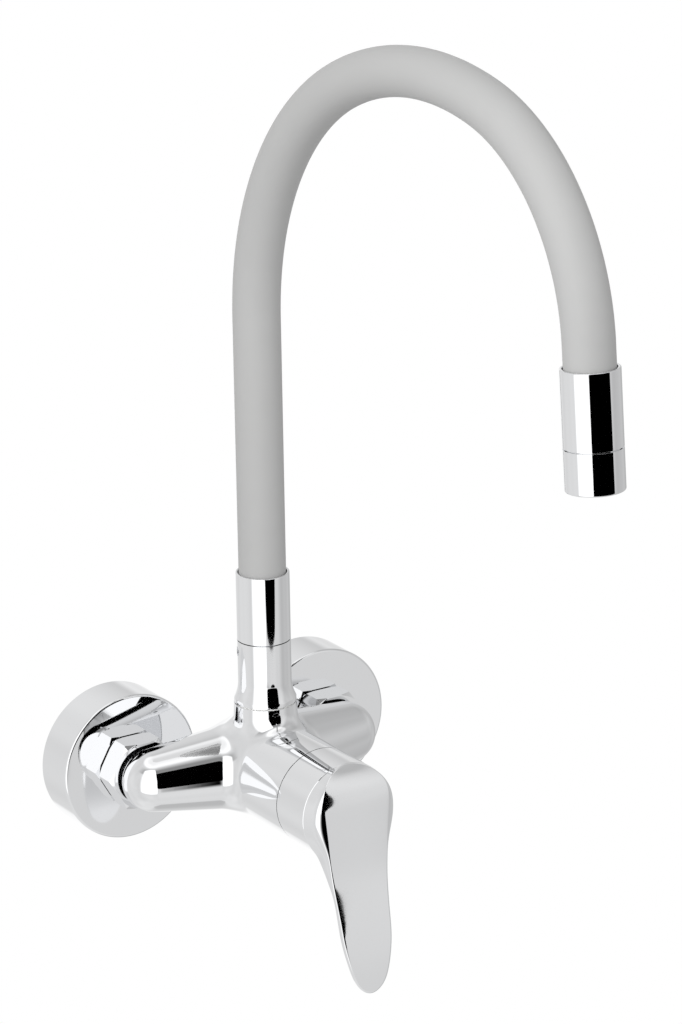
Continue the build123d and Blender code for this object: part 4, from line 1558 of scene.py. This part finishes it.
NODE_FINISH: dict[str, Finish] = {
    "wall_union": BRASS,
    "inlet_washer": SEAL,
    "inlet_tail": STEEL,
    "base_gasket": SEAL,
    "cartridge_base": CARTRIDGE,
    "cartridge_housing": CARTRIDGE,
    "fixed_disc": CERAMIC,
    "moving_disc": CERAMIC,
    "disc_carrier": CARTRIDGE,
    "rotor": CARTRIDGE,
    "pivot_pin": STEEL,
    "stem": STEEL,
    "cartridge_nut": BRASS,
    "lever_set_screw": STEEL,
    "swivel_tail": BRASS,
    "tail_seal": SEAL,
    "spout_retaining_screw": STEEL,
    "sleeve_set_screw": STEEL,
    "core_link": CORE,
    "outlet_adapter": BRASS,
    "aerator_gasket": SEAL,
    "aerator_insert": AERATOR,
}


def dress_nodes(nodes: dict[str, bpy.types.Object]) -> None:
    """Give every carried-over node its finish.

    Args:
        nodes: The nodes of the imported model, by name.
    """
    for name, node in nodes.items():
        finish = next((f for start, f in NODE_FINISH.items() if name.startswith(start)), None)
        if finish is None:
            continue
        if not node.material_slots:
            node.data.materials.append(finish.make())
        for slot in node.material_slots:
            slot.material = finish.make()


# Studio.


@dataclass
class Studio:
    """The camera, the lamps, the pale floor and the cards that the chrome mirrors."""

    azimuth: float = -32.4817
    elevation: float = 18.5
    roll: float = -0.94
    distance: float = 1927.7
    target: Point3 = (37.62, -60.0, 112.74)
    lens: float = 154.52
    sensor: float = 36.0
    floor_z: float = -900.0
    floor_size: float = 14000.0
    floor_grey: float = 0.8
    aim: Point3 = (0, -90, 100)
    shield_y: float = -530.0
    fill: float = 0.62
    walls: float = 0.8
    right_loss: float = 0.24
    overhead: float = 0.42
    zenith_loss: float = 0.16
    behind: float = 0.32
    ring_loss: float = 0.5
    unevenness: float = 0.3

    def camera(self) -> None:
        """Stand the camera where the photograph was taken from."""
        a, e, r = (math.radians(v) for v in (self.azimuth, self.elevation, self.roll))
        back = Vector((math.sin(a) * math.cos(e), -math.cos(a) * math.cos(e), math.sin(e)))
        right = Vector((math.cos(a), math.sin(a), 0))
        up = back.cross(right)
        x = right * math.cos(r) + up * math.sin(r)
        y = up * math.cos(r) - right * math.sin(r)
        data = bpy.data.cameras.new("camera")
        data.sensor_fit = "VERTICAL"
        data.sensor_height = self.sensor
        data.lens = self.lens
        data.clip_end = 50.0
        camera = bpy.data.objects.new("camera", data)
        place = (Vector(self.target) + back * self.distance) * MM
        camera.matrix_world = Matrix.Translation(place) @ Matrix((x, y, back)).transposed().to_4x4()
        bpy.context.scene.collection.objects.link(camera)
        bpy.context.scene.camera = camera

    def world(self) -> None:
        """Make the white background, the soft fill and the grey room that the chrome mirrors."""
        world = bpy.data.worlds.new("studio")
        bpy.context.scene.world = world
        world.use_nodes = True
        tree = Tree(world.node_tree)
        rays = tree.add("ShaderNodeLightPath")
        camera = tree.value(rays, "Is Camera Ray")
        glossy = tree.value(rays, "Is Glossy Ray")
        light = camera + (1.0 - camera) * (glossy * self.room(tree) + (1.0 - glossy) * self.fill)
        back = tree.add("ShaderNodeBackground", Color=(1, 1, 1, 1), Strength=light)
        tree.show(back, "ShaderNodeOutputWorld")

    def room(self, tree: Tree) -> Value:
        """Shade the room that the chrome mirrors.

        Its walls are duller on the right, with a dull ring high up at the front and left. It is brighter
        overhead, though less so straight up, and low down behind the mixer. Bearings are in radians, from
        the front towards the right, and heights run from -1 to 1. Straight behind, where the bearing jumps
        from pi to -pi, the level is the same on both sides.

        Args:
            tree: The world's nodes.

        Returns:
            The brightness in each direction.
        """
        place = tree.add("ShaderNodeTexCoord").outputs["Generated"]
        axes = tree.add("ShaderNodeSeparateXYZ", Vector=place)
        across, depth, height = (tree.value(axes, name) for name in "XYZ")
        bearing = across.maths("ARCTAN2", depth * -1.0)
        right = bearing.between(0.55, 0.95) * (1.0 - bearing.between(2.2, 3.1))
        facing = bearing.between(-2.0, -1.1) * (1.0 - bearing.between(0.25, 0.5))
        ring = height.between(0.55, 0.64) * (1.0 - height.between(0.76, 0.9)) * facing
        behind = bearing.between(2.3, 2.6) * (1.0 - bearing.between(2.95, 3.1))
        behind = behind * height.between(-0.75, -0.5) * (1.0 - height.between(0.1, 0.3))
        slow = tree.add("ShaderNodeTexNoise", Vector=place, Scale=1.6, Detail=1.0)
        level = self.walls - right * self.right_loss + height.between(0.86, 0.93) * self.overhead
        level = level - height.between(0.94, 1.0) * self.zenith_loss + behind * self.behind
        return level + (tree.value(slow) - 0.5) * self.unevenness - ring * self.ring_loss

    def floor(self) -> None:
        """Lay the pale floor, well below the mixer, as it hangs on a wall."""
        Bench.clear()
        bpy.ops.mesh.primitive_plane_add(size=self.floor_size * MM, location=(0, 0, self.floor_z * MM))
        floor = bpy.context.object
        floor.name = "studio_floor"
        material, tree = new_material("pale_floor")
        camera = tree.value(tree.add("ShaderNodeLightPath"), "Is Camera Ray")
        grey = self.floor_grey
        pale = tree.add("ShaderNodeBsdfDiffuse", Color=(grey, grey, grey, 1.0))
        tree.show(tree.mix(camera, pale, tree.glow(1.0)))
        floor.data.materials.append(material)
        floor.visible_glossy = False
        Bench.settle(floor)

    @staticmethod
    def card(name: str, corners: Sequence[Point3]) -> Tree:
        """Stand a flat card that only mirrors in the chrome.

        Args:
            name: The card's name.
            corners: Its corners, in order.

        Returns:
            The nodes of its material, still without a surface.
        """
        mesh = bpy.data.meshes.new(name)
        mesh.from_pydata([Vector(c) * MM for c in corners], [], [tuple(range(len(corners)))])
        card = bpy.data.objects.new(name, mesh)
        bpy.context.scene.collection.objects.link(card)
        material, tree = new_material(name)
        mesh.materials.append(material)
        card.visible_camera = False
        card.visible_diffuse = False
        card.visible_shadow = False
        card.visible_transmission = False
        return tree

    def dark_card(self, name: str, corners: Sequence[Point3]) -> None:
        """Stand a black card with crisp edges."""
        tree = self.card(name, corners)
        tree.show(tree.glow(0.0))

    def soft_panel(self, name: str, a: Point2, b: Point2, heights: Point2, glow: float, fades: Fades) -> None:
        """Stand an upright panel between two points of the plan, with edges that fade out.

        Args:
            name: The panel's name.
            a: One foot, as (x, y).
            b: The other foot, further to the right.
            heights: The heights of its lower and upper edges.
            glow: Its brightness, 0 for a black panel.
            fades: The widths over which its left, right, lower and upper edges fade, 0 for a crisp edge.
        """
        low, high = heights
        tree = self.card(name, [(*a, high), (*b, high), (*b, low), (*a, low)])
        place = tree.add("ShaderNodeTexCoord").outputs["Object"]
        axes = tree.add("ShaderNodeSeparateXYZ", Vector=place)
        across, height = tree.value(axes, "X"), tree.value(axes, "Z")
        crisp = 0.01
        left, right, lower, upper = (max(fade, crisp) * MM for fade in fades)
        mask = across.between(a[0] * MM, a[0] * MM + left)
        mask = mask * (1.0 - across.between(b[0] * MM - right, b[0] * MM))
        mask = mask * height.between(low * MM, low * MM + lower)
        mask = mask * (1.0 - height.between(high * MM - upper, high * MM))
        tree.show(tree.mix(mask, tree.add("ShaderNodeBsdfTransparent"), tree.glow(glow)))

    def shield(self, left: float, right: float, low: float, high: float, corner: float) -> list[Point3]:
        """Outline an upright card in front of the mixer, with rounded lower corners.

        Args:
            left: Its left edge.
            right: Its right edge.
            low: Its lower edge.
            high: Its upper edge.
            corner: The radius of its lower corners.

        Returns:
            The corners, in order.
        """
        y = self.shield_y
        outline = [(left, y, high), (right, y, high)]
        for x, start in ((right - corner, 0.0), (left + corner, -90.0)):
            for t in np.linspace(start, start - 90.0, 9):
                a = math.radians(t)
                outline.append((x + corner * math.cos(a), y, low + corner + corner * math.sin(a)))
        return outline

    def lamp(self, name: str, place: Point3, size: float, power: float) -> None:
        """Hang a soft square lamp that faces the mixer and does not show in the chrome.

        Args:
            name: The lamp's name.
            place: Where it hangs.
            size: Its width in metres.
            power: Its power in watts.
        """
        data = bpy.data.lights.new(name, "AREA")
        data.size = size
        data.energy = power
        lamp = bpy.data.objects.new(name, data)
        lamp.location = Vector(place) * MM
        aim = Vector(self.aim) * MM - lamp.location
        lamp.rotation_euler = aim.to_track_quat("-Z", "Y").to_euler()
        lamp.visible_glossy = False
        bpy.context.scene.collection.objects.link(lamp)

    def build(self) -> None:
        """Set the studio up."""
        bpy.context.scene.view_settings.view_transform = "Standard"
        self.camera()
        self.world()
        self.floor()
        self.dark_card("front_dark", self.shield(-198, 190, -112, 440, 60))
        self.soft_panel("left_white", (-800, -160), (-196, -546), (-340, 880), 1.3, (160, 0, 60, 160))
        self.soft_panel("low_dark", (-74, -185), (8, -185), (-80, -3), 0.0, (44, 3, 30, 8))
        self.lamp("key", (-1200, -800, 1000), 0.9, 24.0)
        self.lamp("fill", (900, -900, 500), 1.2, 4.0)


def main() -> None:
    """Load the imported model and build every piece."""
    logging.basicConfig(level=logging.INFO, format="%(message)s")
    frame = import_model()
    path = SpoutPath()
    Studio().build()
    dress_nodes(frame["nodes"])
    for side, x in (("left", -50.0), ("right", 50.0)):
        inlet = WallSide(side, x)
        inlet.flange()
        inlet.nut()
    BodyCasting().build()
    CapRing().build()
    LeverHandle().build()
    SpoutFoot().build()
    sleeve_run = (-0.7, path.arc_end + 22.3)
    FlexTube("silicone_hose", path, 10.4, 8.75, *sleeve_run, SILICONE, "silicone", "silicone_sleeve").build()
    hose_run = (-5.0, path.arc_end + 32.6)
    FlexTube("inner_hose", path, 3.6, 2.6, *hose_run, HOSE, "hose_inner", "water_hose", 24, 1.6).build()
    Outlet(path).build()


if __name__ == "__main__":
    main()
